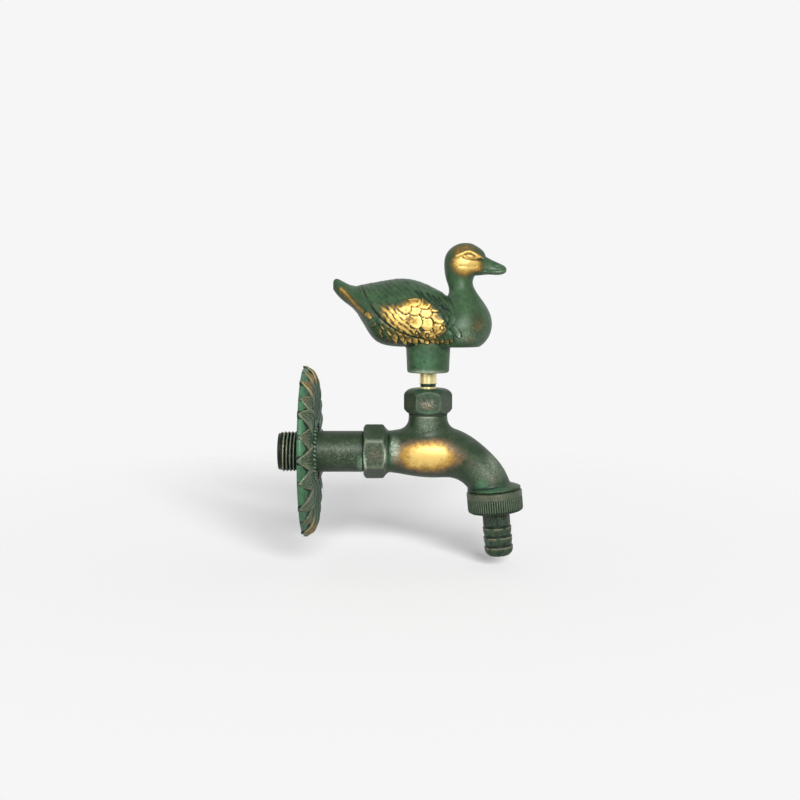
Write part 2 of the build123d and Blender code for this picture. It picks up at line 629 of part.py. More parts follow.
def make_duck_handle():
    """The cast handle: boss, duck and raised wings in one piece, with the tang's socket and the screw hole."""
    wing_prism = DUCK.location * extrude(Plane.XZ * wing_outline(), FAR / 2, both=True)
    wings = duck_body(WING_RISE) & wing_prism
    boss = turned(
        VALVE,
        [
            (0, BOSS_BOTTOM),
            (BOSS_BOTTOM_R, BOSS_BOTTOM),
            (BOSS_TOP_R, DUCK_BASE),
            (BOSS_TOP_R, DUCK_BASE + BOSS_BURIAL),
            (0, DUCK_BASE + BOSS_BURIAL),
        ],
    )
    boss = fillet(boss.edges().group_by(Axis.Z)[0], BOSS_EDGE_ROUND)
    duck = duck_body(0.0) + duck_neck() + duck_bill() + wings + boss
    socket_width = TANG_SQUARE + 2 * THREAD_CLEARANCE
    socket_top = TANG_TOP + SOCKET_TOP_GAP
    socket_height = socket_top - BOSS_BOTTOM
    socket = VALVE * Pos(0, 0, BOSS_BOTTOM + socket_height / 2) * Box(socket_width, socket_width, socket_height)
    socket = socket & rod(VALVE, STEM_R + THREAD_CLEARANCE, BOSS_BOTTOM - 1, socket_top)
    mouth = rod(VALVE, STEM_R + THREAD_CLEARANCE, BOSS_BOTTOM - 1, TANG_START + THREAD_CLEARANCE)
    screw_hole = rod(grub_plane(), GRUB_R + THREAD_CLEARANCE, 0, FAR / 4)
    return duck - socket - mouth - screw_hole


def grub_plane():
    """Starts on the tang's back flat and points out through the back of the boss."""
    origin = (VALVE_X, TANG_SQUARE / 2 + THREAD_CLEARANCE, BOSS_BOTTOM + GRUB_RISE)
    return Plane(origin=origin, x_dir=(1, 0, 0), z_dir=(0, 1, 0))


def make_handle_grub_screw():
    """The grub screw that locks the boss on the tang, with a hexagon socket."""
    screw = rod(grub_plane(), GRUB_R, 0, GRUB_LENGTH)
    return screw - hexagon(grub_plane(), GRUB_KEY, GRUB_LENGTH - GRUB_KEY_DEPTH, GRUB_LENGTH + 1)


def make_union_nut():
    """Knurled nut: a cup with a threaded bore and a lip that carries the hose tail's flange."""
    outer = rod(OUTLET, NUT_R, NUT_TOP_GAP, NUT_BOTTOM)
    outer = fillet(outer.edges().sort_by(Axis.Z)[0], NUT_BOTTOM_ROUND)
    outer = fillet(outer.edges().sort_by(Axis.Z)[-1], NUT_TOP_ROUND)
    flute = Polygon(
        (NUT_R - KNURL_DEPTH, 0),
        (NUT_R + KNURL_DEPTH, -2 * KNURL_HALF_WIDTH),
        (NUT_R + KNURL_DEPTH, 2 * KNURL_HALF_WIDTH),
        align=None,
    )
    flutes = [Rot(0, 0, 360 * i / KNURL_COUNT) * flute for i in range(KNURL_COUNT)]
    outer -= OUTLET * Pos(0, 0, NUT_TOP_GAP + KNURL_TOP_GAP) * extrude(Sketch() + flutes, NUT_HEIGHT)
    bore_r = OUTLET_THREAD_R + NUT_THREAD_CLEARANCE
    bore = rod(OUTLET, bore_r, NUT_TOP_GAP - 1, NUT_BOTTOM - NUT_LIP)
    return outer - bore - rod(OUTLET, NUT_LIP_HOLE_R, NUT_TOP_GAP, NUT_BOTTOM + 1)


def make_hose_tail():
    """Barbed tail: flange, neck, three barbs that hold the hose, and a rounded end."""
    flange_bottom = TAIL_TOP + TAIL_FLANGE_THICKNESS
    outline = [
        (TAIL_BORE_R, TAIL_TOP),
        (TAIL_FLANGE_R, TAIL_TOP),
        (TAIL_FLANGE_R, flange_bottom),
        (TAIL_NECK_R, flange_bottom),
    ]
    for i in range(BARB_COUNT):
        barb_top = TAIL_FIRST_BARB + i * BARB_PITCH
        outline.append((TAIL_NECK_R if i == 0 else BARB_BOTTOM_R, barb_top))
        outline.append((BARB_TOP_R, barb_top))
    outline.append((BARB_BOTTOM_R, TAIL_END - TAIL_END_ROUND))
    outline.append((BARB_BOTTOM_R - TAIL_END_ROUND, TAIL_END))
    outline.append((TAIL_BORE_R, TAIL_END))
    return turned(OUTLET, outline)


def make_hose_washer():
    """Flat rubber ring between the outlet's end and the hose tail."""
    return tube(OUTLET, WATERWAY_R + 0.4, HOSE_WASHER_R, HOSE_WASHER_TOP, TAIL_TOP)


def main():
    """Builds every piece and writes it to its own STEP file."""
    pieces = {
        "tap_body": make_tap_body(),
        "inlet_nipple": make_inlet_nipple(),
        "wall_rosette": make_wall_rosette(),
        "bonnet": make_bonnet(),
        "bonnet_gasket": make_bonnet_gasket(),
        "spindle_o_rings": make_spindle_o_rings(),
        "spindle": make_spindle(),
        "jumper_valve": make_jumper_valve(),
        "jumper_washer": make_jumper_washer(),
        "jumper_nut": make_jumper_nut(),
        "duck_handle": make_duck_handle(),
        "handle_grub_screw": make_handle_grub_screw(),
        "union_nut": make_union_nut(),
        "hose_tail": make_hose_tail(),
        "hose_washer": make_hose_washer(),
    }
    os.makedirs("parts", exist_ok=True)
    for name, piece in pieces.items():
        solids = piece if isinstance(piece, list) else piece.solids()
        export_step(Compound(children=solids) if len(solids) > 1 else solids[0], f"parts/{name}.step")
        print(name, "solids", len(solids), "volume", round(sum(s.volume for s in solids), 1))


main()
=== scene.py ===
# %% [markdown]
# A garden tap in patinated brass, with a duck for a handle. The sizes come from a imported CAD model, so the script
# loads that model first and treats it as a fixed frame. Blender works in metres. This script's own sizes are in
# millimetres, in the frame of the CAD model: the wall plane is X = 0, +X points away from the wall and +Z is up.

# %% Load the frame
import math
from contextlib import contextmanager
from functools import partial

import bmesh
import bpy
import numpy as np
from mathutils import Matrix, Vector


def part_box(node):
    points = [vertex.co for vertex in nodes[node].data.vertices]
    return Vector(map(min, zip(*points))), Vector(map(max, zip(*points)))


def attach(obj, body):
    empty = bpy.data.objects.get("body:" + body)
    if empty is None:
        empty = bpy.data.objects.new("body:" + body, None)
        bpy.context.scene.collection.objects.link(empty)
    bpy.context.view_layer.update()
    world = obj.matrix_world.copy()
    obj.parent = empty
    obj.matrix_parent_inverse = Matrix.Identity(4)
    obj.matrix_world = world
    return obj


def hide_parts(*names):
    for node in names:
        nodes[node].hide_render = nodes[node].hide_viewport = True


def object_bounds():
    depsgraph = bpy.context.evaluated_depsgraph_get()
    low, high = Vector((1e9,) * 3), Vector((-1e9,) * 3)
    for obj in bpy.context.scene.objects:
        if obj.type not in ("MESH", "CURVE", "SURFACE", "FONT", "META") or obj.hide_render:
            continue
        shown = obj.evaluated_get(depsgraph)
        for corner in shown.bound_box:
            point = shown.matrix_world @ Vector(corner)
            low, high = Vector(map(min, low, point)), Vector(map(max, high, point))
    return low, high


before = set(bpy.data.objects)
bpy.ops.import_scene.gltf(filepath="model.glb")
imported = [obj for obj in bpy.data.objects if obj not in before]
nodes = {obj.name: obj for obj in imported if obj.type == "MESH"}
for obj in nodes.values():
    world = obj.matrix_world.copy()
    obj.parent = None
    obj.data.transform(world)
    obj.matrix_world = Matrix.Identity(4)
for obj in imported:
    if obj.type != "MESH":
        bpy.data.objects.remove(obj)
cad_box = [[float(value) for value in corner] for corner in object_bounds()]
MM = 0.001
print("CAD box in mm", [[round(value / MM, 1) for value in corner] for corner in cad_box])

# %% [markdown]
# The camera stands level with the duck and looks slightly down, as a product photographer's would. The focal length
# and place were worked out from the half-inch pipe thread, whose real diameter is known.

# %% Camera
CAMERA_PLACE = Vector((0.0498, -0.5667, 0.0743))
CAMERA_PITCH = math.radians(4.8)
FOCAL_PIXELS = 1100.0
FRAME_PIXELS = 800.0
camera_data = bpy.data.cameras.new("tap_camera")
camera_data.sensor_width = 36.0
camera_data.sensor_fit = "HORIZONTAL"
camera_data.lens = camera_data.sensor_width * FOCAL_PIXELS / FRAME_PIXELS
camera = bpy.data.objects.new("tap_camera", camera_data)
camera.location = CAMERA_PLACE
camera.rotation_euler = (math.pi / 2 - CAMERA_PITCH, 0.0, 0.0)
bpy.context.collection.objects.link(camera)
bpy.context.scene.camera = camera
print("lens", round(camera_data.lens, 2), "mm")

# %% [markdown]
# Three small helpers serve every material. The first turns an sRGB hex value, as an artist picks it, into the linear
# numbers that the renderer uses. The second adds a node, sets its fields and links or fills its sockets in one call.
# The third starts an empty material. The node kinds that come up most get short names.


# %% Helpers for materials
def linear(hex_colour):
    """Linear RGBA of an sRGB hex colour."""
    channels = [int(hex_colour[i : i + 2], 16) / 255 for i in (1, 3, 5)]
    return [c / 12.92 if c <= 0.04045 else ((c + 0.055) / 1.055) ** 2.4 for c in channels] + [1.0]


def add_node(tree, kind, sockets=None, stops=(), **fields):
    """Adds a node. sockets maps an input's name or place to a value, to an output, or to a node, which stands for its
    first open output. stops are the (place, hex colour) pairs of a colour ramp."""
    made = tree.nodes.new(kind)
    for field, value in fields.items():
        setattr(made, field, value)
    for key, value in (sockets or {}).items():
        if isinstance(value, bpy.types.Node):
            value = next(output for output in value.outputs if output.enabled)
        if isinstance(value, bpy.types.NodeSocket):
            tree.links.new(value, made.inputs[key])
        else:
            made.inputs[key].default_value = value
    bands = made.color_ramp.elements if stops else []
    while len(bands) < len(stops):
        bands.new(0.5)
    for band, (where, colour) in zip(bands, stops):
        band.position = where
        band.color = linear(colour)
    return made


def new_material(name):
    """A material, and the function that adds a node to its empty tree."""
    material = bpy.data.materials.new(name)
    material.use_nodes = True
    material.node_tree.nodes.clear()
    return material, partial(add_node, material.node_tree)


MATH, MIX, RANGE, RAMP = "ShaderNodeMath", "ShaderNodeMix", "ShaderNodeMapRange", "ShaderNodeValToRGB"
NOISE, BUMP, SKIN = "ShaderNodeTexNoise", "ShaderNodeBump", "ShaderNodeBsdfPrincipled"
PLACE, SURFACE = "ShaderNodeTexCoord", "ShaderNodeOutputMaterial"
bpy.context.scene.view_settings.view_transform = "Standard"
print("pale grey", [round(value, 3) for value in linear("#f5f5f5")])

# %% [markdown]
# The photograph has a pale grey, almost white ground. The world is that same pale grey to the camera. Metal needs
# something more like a real studio to mirror: pale behind the tap, and darker on the side where the camera stands. So
# the world's strength depends on who asks: full for the camera, a slope from front to back for mirror rays, and a
# low, even level for everything else.

# %% World
GROUND = "#f6f6f6"
AMBIENT = 0.28
ROOM_FRONT, ROOM_BACK = 0.3, 1.0
world = bpy.data.worlds.new("studio")
bpy.context.scene.world = world
world.use_nodes = True
world.node_tree.nodes.clear()
add = partial(add_node, world.node_tree)
rays = add("ShaderNodeLightPath").outputs
facing = add("ShaderNodeSeparateXYZ", {0: add(PLACE).outputs["Generated"]}).outputs["Y"]
slope = {"From Min": -0.7, "From Max": 0.3, "To Min": ROOM_FRONT, "To Max": ROOM_BACK}
room = add(RANGE, {"Value": facing} | slope)
mirrored = add(MATH, {0: rays["Is Glossy Ray"], 1: rays["Is Transmission Ray"]}, operation="MAXIMUM")
shade = add(MIX, {0: mirrored, 2: AMBIENT, 3: room})
strength = add(MIX, {0: rays["Is Camera Ray"], 2: shade, 3: 1.0})
sky = add("ShaderNodeBackground", {"Color": linear(GROUND), "Strength": strength})
add("ShaderNodeOutputWorld", {"Surface": sky})
print("world:", len(world.node_tree.nodes), "nodes")

# %% [markdown]
# A paper floor just under the hose tail catches the one soft shadow. It fades to clear well away from the tap, so
# that no horizon shows, and it is clear from below, so that the tap can be looked at from there. It throws back less
# light than white paper would, because in the photograph the tap's underside is dark.

# %% Floor
FLOOR_GAP, FLOOR_HALF = 0.0065, 1.2
SHADOW_MIDDLE, FADE_FROM, FADE_TO = (0.03, 0.12), 0.16, 0.42
PAPER, PAPER_BOUNCE, PAPER_LIFT = "#ececec", "#7c7c7c", 0.05
floor_z = cad_box[0][2] - FLOOR_GAP
corners = [(x * FLOOR_HALF, y * FLOOR_HALF, floor_z) for x, y in ((-1, -1), (1, -1), (1, 1), (-1, 1))]
floor_mesh = bpy.data.meshes.new("floor")
floor_mesh.from_pydata(corners, [], [(0, 1, 2, 3)])
floor = bpy.data.objects.new("floor", floor_mesh)
bpy.context.collection.objects.link(floor)
# matte paper: an even white with no gloss at all
floor_paper, add = new_material("matte white paper sweep")
rays = add("ShaderNodeLightPath").outputs
place = add(PLACE).outputs["Object"]
far = add("ShaderNodeVectorMath", {0: place, 1: (*SHADOW_MIDDLE, floor_z)}, operation="DISTANCE")
reach = {"Value": far, "From Min": FADE_FROM, "From Max": FADE_TO}
fade = add(RANGE, reach, interpolation_type="SMOOTHSTEP")
whites = {0: rays["Is Diffuse Ray"], 6: linear(PAPER), 7: linear(PAPER_BOUNCE)}
paper = add("ShaderNodeBsdfDiffuse", {"Color": add(MIX, whites, data_type="RGBA")})
glow = add(MATH, {0: rays["Is Camera Ray"], 1: PAPER_LIFT}, operation="MULTIPLY")
lift = add("ShaderNodeEmission", {"Color": linear(GROUND), "Strength": glow})
paper = add("ShaderNodeAddShader", {0: paper, 1: lift})
below = add("ShaderNodeNewGeometry").outputs["Backfacing"]
unseen = add(MATH, {0: fade, 1: below}, operation="MAXIMUM")
clear = add("ShaderNodeBsdfTransparent")
sweep = add("ShaderNodeMixShader", {0: unseen, 1: paper, 2: clear})
add(SURFACE, {"Surface": sweep})
floor_mesh.materials.append(floor_paper)
print("floor at", round(floor_z / MM, 2), "mm")

# %% [markdown]
# Two soft boxes in front light the tap: a key lamp on the right and a weak fill on the left. The shadow in the
# photograph lies flat behind the tap, which asks for a low sun, and a sun that low would glare on the brass. Light
# linking settles it: the soft boxes leave the floor out, and the low sun lights the floor alone.

# %% Lamps
TAP_MIDDLE = (0.05, 0.0, 0.03)
SOFTBOXES = {"key_softbox": ((0.20, -0.92, 0.38), 0.40, 10.5), "fill_softbox": ((-0.60, -0.70, 0.25), 0.5, 2.0)}
SUN_RUN, SUN_STRENGTH, SUN_ANGLE = (-0.2, 1.0, -0.28), 9.0, math.radians(34)
all_but_floor = bpy.data.collections.new("everything_but_the_floor")
all_but_floor.objects.link(floor)
all_but_floor.collection_objects[0].light_linking.link_state = "EXCLUDE"
floor_only = bpy.data.collections.new("floor_only")
floor_only.objects.link(floor)


def add_lamp(name, kind, place, run, receivers, **fields):
    """A lamp that shines along a direction, on the receivers only."""
    lamp = bpy.data.lights.new(name, kind)
    for field, value in fields.items():
        setattr(lamp, field, value)
    holder = bpy.data.objects.new(name, lamp)
    holder.location = place
    holder.rotation_euler = Vector(run).to_track_quat("-Z", "Y").to_euler()
    holder.light_linking.receiver_collection = receivers
    bpy.context.collection.objects.link(holder)


for name, (place, side, watts) in SOFTBOXES.items():
    add_lamp(name, "AREA", place, Vector(TAP_MIDDLE) - Vector(place), all_but_floor, size=side, energy=watts)
add_lamp("low_sun", "SUN", (0.0, 0.0, 0.0), SUN_RUN, floor_only, energy=SUN_STRENGTH, angle=SUN_ANGLE)
print("lamps:", ", ".join(bpy.data.lights.keys()))

# %% [markdown]
# Nearly every outside piece is cast brass under a dark green patina. The patina is a thin, slightly waxy layer: satin,
# not a mirror, and a little cloudy. It is rubbed through to gold by hand on the high places, browner where the rubbing
# was lighter, and it is darkest in the grooves. Each piece carries up to four numbers at every point of its mesh:
# "rubbed" says how far the maker rubbed there, "edge" how sharply the surface bulges (above 0) or sinks (below 0),
# with painted shade added as more sinking in some places, "bloom" where pale verdigris grew, and the fourth where
# later knocks left pale scratches and, in a few places, where a highlight is painted pale. One finish reads all four,
# so that the pieces match. Clouds are 7 mm across, blotches 2 mm. The speckle is half a millimetre, coarser than real
# casting grain, so that it shows at this distance.

# %% Finish: patinated cast brass
CLOUDS_MM, BLOTCH_MM, SPECKLE_MM, SCRATCH_MM = 7.0, 2.1, 0.5, 0.9
# the pale scratch colour also paints a few highlights, and the groove colour also paints shade where a piece adds it
VERDIGRIS, PALE_SCRATCH_AND_HIGHLIGHT, GROOVE_WAX_AND_SHADE = "#4c7b5b", "#bccab2", "#14231a"
DUCK_GREENS = ("#263d27", "#375237", "#4a6947")
DUCK_GOLDS = ("#414326", "#675731", "#b08a3e", "#f0cc78")
TAP_GREENS = ("#203020", "#2f402c", "#41523b")
TAP_GOLDS = ("#434434", "#6d5a42", "#b08940", "#f0cc78")


def patinated_brass(name, greens, golds):
    """Green patina over cast brass, rubbed through where the mesh says so."""
    material, add = new_material(name)
    where = add(PLACE).outputs["Object"]
    rubbed, edge, bloom, scuff = (
        add("ShaderNodeAttribute", attribute_name=kind).outputs["Fac"]
        for kind in ("rubbed", "edge", "bloom", "scuff")
    )
    clouds, blotch, speckle = (
        add(NOISE, {"Vector": where, "Scale": 1 / (size * MM), "Detail": 4.0, "Roughness": 0.6})
        for size in (CLOUDS_MM, BLOTCH_MM, SPECKLE_MM)
    )
    # the green layer: slow clouds with smaller blotches in them, and verdigris that grows in blotches
    cloudy = add(MIX, {0: 0.4, 2: clouds, 3: blotch})
    green = add(RAMP, {"Fac": cloudy}, stops=list(zip((0.3, 0.5, 0.7), greens)))
    crust = add(MATH, {0: bloom, 1: blotch}, operation="MULTIPLY")
    crust = add(RANGE, {"Value": crust, "From Min": 0.1, "From Max": 0.6})
    green = add(MIX, {0: crust, 6: green, 7: linear(VERDIGRIS)}, data_type="RGBA")
    # wear: the maker's rubbing, broken up by blotches and speckle, stronger on bulges and absent in grooves
    broken = add(MATH, {0: blotch, 1: speckle}, operation="ADD")
    broken = add(MATH, {0: broken, 1: 0.38, 2: -0.63}, operation="MULTIPLY_ADD")
    broken = add(MATH, {0: clouds, 1: 0.5, 2: broken}, operation="MULTIPLY_ADD")
    bulge = add(MATH, {0: edge, 1: 0.0}, operation="MAXIMUM")
    sink = add(MATH, {0: edge, 1: 0.0}, operation="MINIMUM")
    reach = add(MATH, {0: rubbed, 1: 0.8, 2: 0.12}, operation="MULTIPLY_ADD")
    worn = add(MATH, {0: rubbed, 1: broken}, operation="ADD")
    worn = add(MATH, {0: bulge, 1: reach, 2: worn}, operation="MULTIPLY_ADD")
    worn = add(MATH, {0: sink, 1: 1.1, 2: worn}, operation="MULTIPLY_ADD")
    wear = add(RANGE, {"Value": worn, "From Min": 0.12, "From Max": 1.1}, interpolation_type="SMOOTHSTEP")
    gold = add(RAMP, {"Fac": wear}, stops=list(zip((0.05, 0.4, 0.72, 1.0), golds)))
    cover = add(RANGE, {"Value": wear, "From Max": 0.3})
    colour = add(MIX, {0: cover, 6: green, 7: gold}, data_type="RGBA")
    # pale scratches, with painted highlights in a few places, and dark wax in the grooves, with painted shade in a few
    # places
    scratches_and_highlights = {"Vector": where, "Scale": 1 / (SCRATCH_MM * MM), "Detail": 5.0, "Roughness": 0.8, "Distortion": 1.2}
    scratches_and_highlights = add(RANGE, {"Value": add(NOISE, scratches_and_highlights), "From Min": 0.5, "From Max": 0.7})
    scratches_and_highlights = add(MATH, {0: bulge, 1: 1.2, 2: scratches_and_highlights}, operation="MULTIPLY_ADD")
    scratches_and_highlights = add(MATH, {0: scratches_and_highlights, 1: scuff}, operation="MULTIPLY", use_clamp=True)
    colour = add(MIX, {0: scratches_and_highlights, 6: colour, 7: linear(PALE_SCRATCH_AND_HIGHLIGHT)}, data_type="RGBA")
    dark = add(RANGE, {"Value": edge, "From Min": -0.1, "From Max": -0.8})
    colour = add(MIX, {0: dark, 6: colour, 7: linear(GROOVE_WAX_AND_SHADE)}, data_type="RGBA")
    # the surface: satin wax over green, more metal where it is rubbed bare, and a fine casting grain
    metal = add(RANGE, {"Value": wear, "From Min": 0.35, "To Min": 0.06, "To Max": 0.5})
    matte = add(RANGE, {"Value": wear, "To Min": 0.42, "To Max": 0.46})
    grain = add(BUMP, {"Height": broken, "Strength": 0.3, "Distance": 0.1 * MM})
    look = {"Base Color": colour, "Metallic": metal, "Roughness": matte, "Normal": grain, "Specular IOR Level": 0.28}
    add(SURFACE, {"Surface": add(SKIN, look)})
    return material


# waxed: the duck is handled every day, so its green is warmer and cleaner, with a yellow undertone in the wear
duck_patina = patinated_brass("patinated cast brass, waxed", DUCK_GREENS, DUCK_GOLDS)
# weathered: the fittings stay out in the rain, so their green is darker and their wear browner
patina = patinated_brass("patinated cast brass, weathered", TAP_GREENS, TAP_GOLDS)
print("finish", patina.name, len(patina.node_tree.nodes), "nodes")

# %% [markdown]
# Turned brass shows where the spindle comes out of the bonnet: bright, with fine rings from the lathe tool. Rubber,
# fibre and zinc-plated steel belong to the seals and the small screw, which hardly show until the tap is taken apart.
# Each of them is one colour with a fine grain. Rings and grains are drawn coarser than real ones, so that they show.

# %% Finishes: bare brass, rubber, fibre, steel
BRIGHT_BRASS, STEM_STAIN = "#f4e4a6", "#26402c"
STEM_GROOVE_Z, STEM_GROOVE_HALF, LATHE_RINGS_MM = 34.5, 0.95, 2.2


def grained_finish(name, dark, pale, metallic, roughness, grain_mm):
    """An even finish with a fine grain in its colour and in its surface."""
    material, add = new_material(name)
    where = add(PLACE).outputs["Object"]
    grain = add(NOISE, {"Vector": where, "Scale": 1 / (grain_mm * MM)})
    colour = add(MIX, {0: grain, 6: linear(dark), 7: linear(pale)}, data_type="RGBA")
    bump = add(BUMP, {"Height": grain, "Strength": 0.2, "Distance": 0.05 * MM})
    look = {"Base Color": colour, "Metallic": metallic, "Roughness": roughness, "Normal": bump}
    add(SURFACE, {"Surface": add(SKIN, look)})
    return material


def turned_brass():
    """Bare brass with lathe rings along Z, and dark patina left in the stem's groove."""
    material, add = new_material("turned bare brass")
    where = add(PLACE).outputs["Object"]
    height = add("ShaderNodeSeparateXYZ", {0: where}).outputs["Z"]
    groove = add(MATH, {0: height, 1: -STEM_GROOVE_Z * MM}, operation="ADD")
    groove = add(MATH, {0: groove}, operation="ABSOLUTE")
    walls = {"From Min": STEM_GROOVE_HALF * MM, "From Max": (STEM_GROOVE_HALF - 0.15) * MM}
    stain = add(RANGE, {"Value": groove} | walls)
    colour = add(MIX, {0: stain, 6: linear(BRIGHT_BRASS), 7: linear(STEM_STAIN)}, data_type="RGBA")
    lathe = {"Vector": where, "Scale": 1 / (LATHE_RINGS_MM * MM), "Distortion": 0.4}
    rings = add("ShaderNodeTexWave", lathe, bands_direction="Z").outputs["Fac"]
    bump = add(BUMP, {"Height": rings, "Strength": 0.12, "Distance": 0.03 * MM})
    look = {"Base Color": colour, "Metallic": 0.6, "Roughness": 0.28, "Normal": bump}
    add(SURFACE, {"Surface": add(SKIN, look)})
    return material


# bright and warm, with rings that catch the light
bare_brass = turned_brass()
# a dull black, with a soft sheen at most
black_rubber = grained_finish("moulded black rubber", "#141415", "#232324", 0.0, 0.6, 0.8)
# dry and brownish, duller than the rubber
dark_fibre = grained_finish("pressed dark fibre", "#22231e", "#383a31", 0.0, 0.8, 0.6)
# a cool grey metal beside the warm brass
zinc_steel = grained_finish("zinc-plated steel", "#7c7e82", "#a0a2a6", 1.0, 0.35, 0.5)
INNER_FINISHES = {
    "spindle": bare_brass,
    "jumper_valve": bare_brass,
    "jumper_nut": bare_brass,
    "jumper_washer": black_rubber,
    "hose_washer": black_rubber,
    "spindle_o_rings": black_rubber,
    "bonnet_gasket": dark_fibre,
    "handle_grub_screw": zinc_steel,
}
for node_name, finish in INNER_FINISHES.items():
    slots = nodes[node_name].data.materials
    slots.clear()
    slots.append(finish)
print("inner pieces finished:", ", ".join(INNER_FINISHES))

# %% [markdown]
# A casting has no sharp corners: sand or wax leaves every edge a little soft. The CAD mesh has true edges, so a copy
# of it is rebuilt from small cubes (a voxel remesh) and relaxed, which rounds each edge by about the cube's size.


# %% Helpers for meshes
@contextmanager
def edited(mesh):
    """Opens a mesh for editing, and writes it back at the end."""
    work = bmesh.new()
    work.from_mesh(mesh)
    yield work
    work.to_mesh(mesh)
    work.free()


def merged_copy(node_name):
    """A copy of a CAD node's mesh with its loose triangles joined."""
    mesh = nodes[node_name].data.copy()
    mesh.materials.clear()
    with edited(mesh) as work:
        bmesh.ops.remove_doubles(work, verts=work.verts, dist=1e-6)
    return mesh


def evaluated_mesh(holder):
    """The plain mesh that an object's modifiers give."""
    graph = bpy.context.evaluated_depsgraph_get()
    return bpy.data.meshes.new_from_object(holder.evaluated_get(graph))


def remeshed(mesh, voxel_mm, relax):
    """The mesh rebuilt from cubes of one size, then relaxed."""
    holder = bpy.data.objects.new("remesh_work", mesh)
    bpy.context.collection.objects.link(holder)
    cubes = holder.modifiers.new("cubes", "REMESH")
    cubes.mode = "VOXEL"
    cubes.voxel_size = voxel_mm * MM
    soften = holder.modifiers.new("soften", "SMOOTH")
    soften.factor = 0.5
    soften.iterations = relax
    result = evaluated_mesh(holder)
    bpy.data.objects.remove(holder)
    return result


def rows_of(items, field):
    """A field of three numbers, one row for each item."""
    flat = np.empty(len(items) * 3, dtype=np.float32)
    items.foreach_get(field, flat)
    return flat.reshape(-1, 3).astype(np.float64)


def points_of(mesh):
    """The mesh's points in millimetres, one row each."""
    return rows_of(mesh.vertices, "co") / MM


def normals_of(mesh):
    """The mesh's point normals, one row each."""
    return rows_of(mesh.vertex_normals, "vector")


def set_points(mesh, points):
    """Moves the mesh's points to these places, in millimetres."""
    mesh.vertices.foreach_set("co", (points * MM).astype(np.float32).ravel())
    mesh.update()


print("mesh helpers ready")

# %% [markdown]
# Wear, with the painted shade and highlights that ride on it, is worked out point by point. How far a point stands out
# from its neighbours gives the "edge" number. The rest comes from soft round spots, each given as a centre, its reach
# along X, Y and Z, and its strength. The far side of the tap isn't seen in the photograph, so every spot works on both
# sides.


# %% Helpers for wear
def neighbour_mean(mesh, values):
    """For each point, the mean of a value over the points that it shares an edge with."""
    pairs = np.empty(len(mesh.edges) * 2, dtype=np.int64)
    mesh.edges.foreach_get("vertices", pairs)
    pairs = pairs.reshape(-1, 2)
    total = np.zeros_like(values)
    count = np.zeros(len(values))
    for here, there in ((0, 1), (1, 0)):
        np.add.at(total, pairs[:, here], values[pairs[:, there]])
        np.add.at(count, pairs[:, here], 1)
    return total / np.maximum(count, 1)[:, None]


def edge_values(mesh, reach_mm, spread):
    """How far each point stands out of its surroundings: about 1 on a sharp edge, -1 in a sharp groove."""
    points = points_of(mesh)
    middle = points
    for _ in range(spread):
        middle = neighbour_mean(mesh, middle)
    proud = ((points - middle) * normals_of(mesh)).sum(axis=1) / reach_mm
    return np.clip(proud, -1.5, 1.5)


def store(mesh, **kinds):
    """Writes a number of each kind for every point, for the finish to read."""
    for kind, values in kinds.items():
        layer = mesh.attributes.new(kind, "FLOAT", "POINT")
        layer.data.foreach_set("value", np.full(len(mesh.vertices), values, dtype=np.float32))


def ease(low, high, value):
    """0 below low, 1 above high, and a smooth step between."""
    share = np.clip((value - low) / (high - low), 0.0, 1.0)
    return share * share * (3 - 2 * share)


def uneven(a, b, pitch_mm):
    """A soft uneven pattern from -1 to 1 over two coordinates in mm, with lumps about one pitch apart."""
    a, b = a * (math.pi / pitch_mm), b * (math.pi / pitch_mm)
    return np.sin(a + 1.3 * np.sin(0.83 * b)) * np.sin(0.91 * b + 1.2 * np.sin(0.75 * a))


def soft_spots(points, spots):
    """How strongly soft round spots reach each point, the same on both sides of the tap."""
    folded = np.column_stack([points[:, 0], -np.abs(points[:, 1]), points[:, 2]])
    value = np.zeros(len(points))
    for centre, halves, amount in spots:
        reach = np.linalg.norm((folded - np.array(centre)) / np.array(halves), axis=1)
        value = np.maximum(value, amount * (1 - ease(0.05, 1.3, reach)))
    return value


print("wear helpers ready")

# %% [markdown]
# Every finished mesh goes into the scene the same way: one finish, a body to ride on, a named slot, and the CAD node
# that it stands in for, if it does. A plain casting needs nothing but soft edges, wear and painted shade. Its spots of
# dark wax and of painted shade count as grooves, so the patina stays dark there, and verdigris grows in true grooves
# by itself.


# %% Helpers for pieces
def spot_wear(points, spots):
    """Each kind of wear, painted shade or painted highlight, from a list of its soft spots."""
    return {kind: soft_spots(points, listed) for kind, listed in spots.items()}


def add_piece(name, mesh, body, node_name=None, finish=patina, **wear):
    """Puts a mesh with its wear and finish in the scene, on its body, in place of its CAD node."""
    store(mesh, **wear)
    mesh.name = name
    mesh.materials.clear()
    mesh.materials.append(finish)
    mesh.polygons.foreach_set("use_smooth", [True] * len(mesh.polygons))
    piece = bpy.data.objects.new(name, mesh)
    bpy.context.collection.objects.link(piece)
    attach(piece, body)
    if node_name:
        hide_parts(node_name)
    print(name, len(mesh.vertices), "points,", sum(len(face.vertices) - 2 for face in mesh.polygons), "triangles")


def cast_piece(node_name, body, voxel_mm, relax, spots, bore=None):
    """A CAD node as a soft-edged casting. bore gives the axis and the radius of a hole to keep open."""
    mesh = remeshed(merged_copy(node_name), voxel_mm, relax)
    points = points_of(mesh)
    if bore:
        from_axis = points[:, :2] - np.array([bore[0], 0.0])
        radius = np.maximum(np.linalg.norm(from_axis, axis=1), 1e-6)
        points[:, :2] += from_axis * (np.maximum(radius, bore[1]) / radius - 1)[:, None]
        set_points(mesh, points)
    wear = spot_wear(points, spots)
    # spots of dark wax and of painted shade are taken off the edge number, as if they were grooves
    edge = edge_values(mesh, 0.12, 4) - wear.pop("wax")
    wear["bloom"] = np.maximum(wear["bloom"], 0.8 * ease(0.05, 0.6, -edge))
    add_piece(f"{node_name}_cast", mesh, body, node_name, edge=edge, **wear)


print("piece helpers ready")
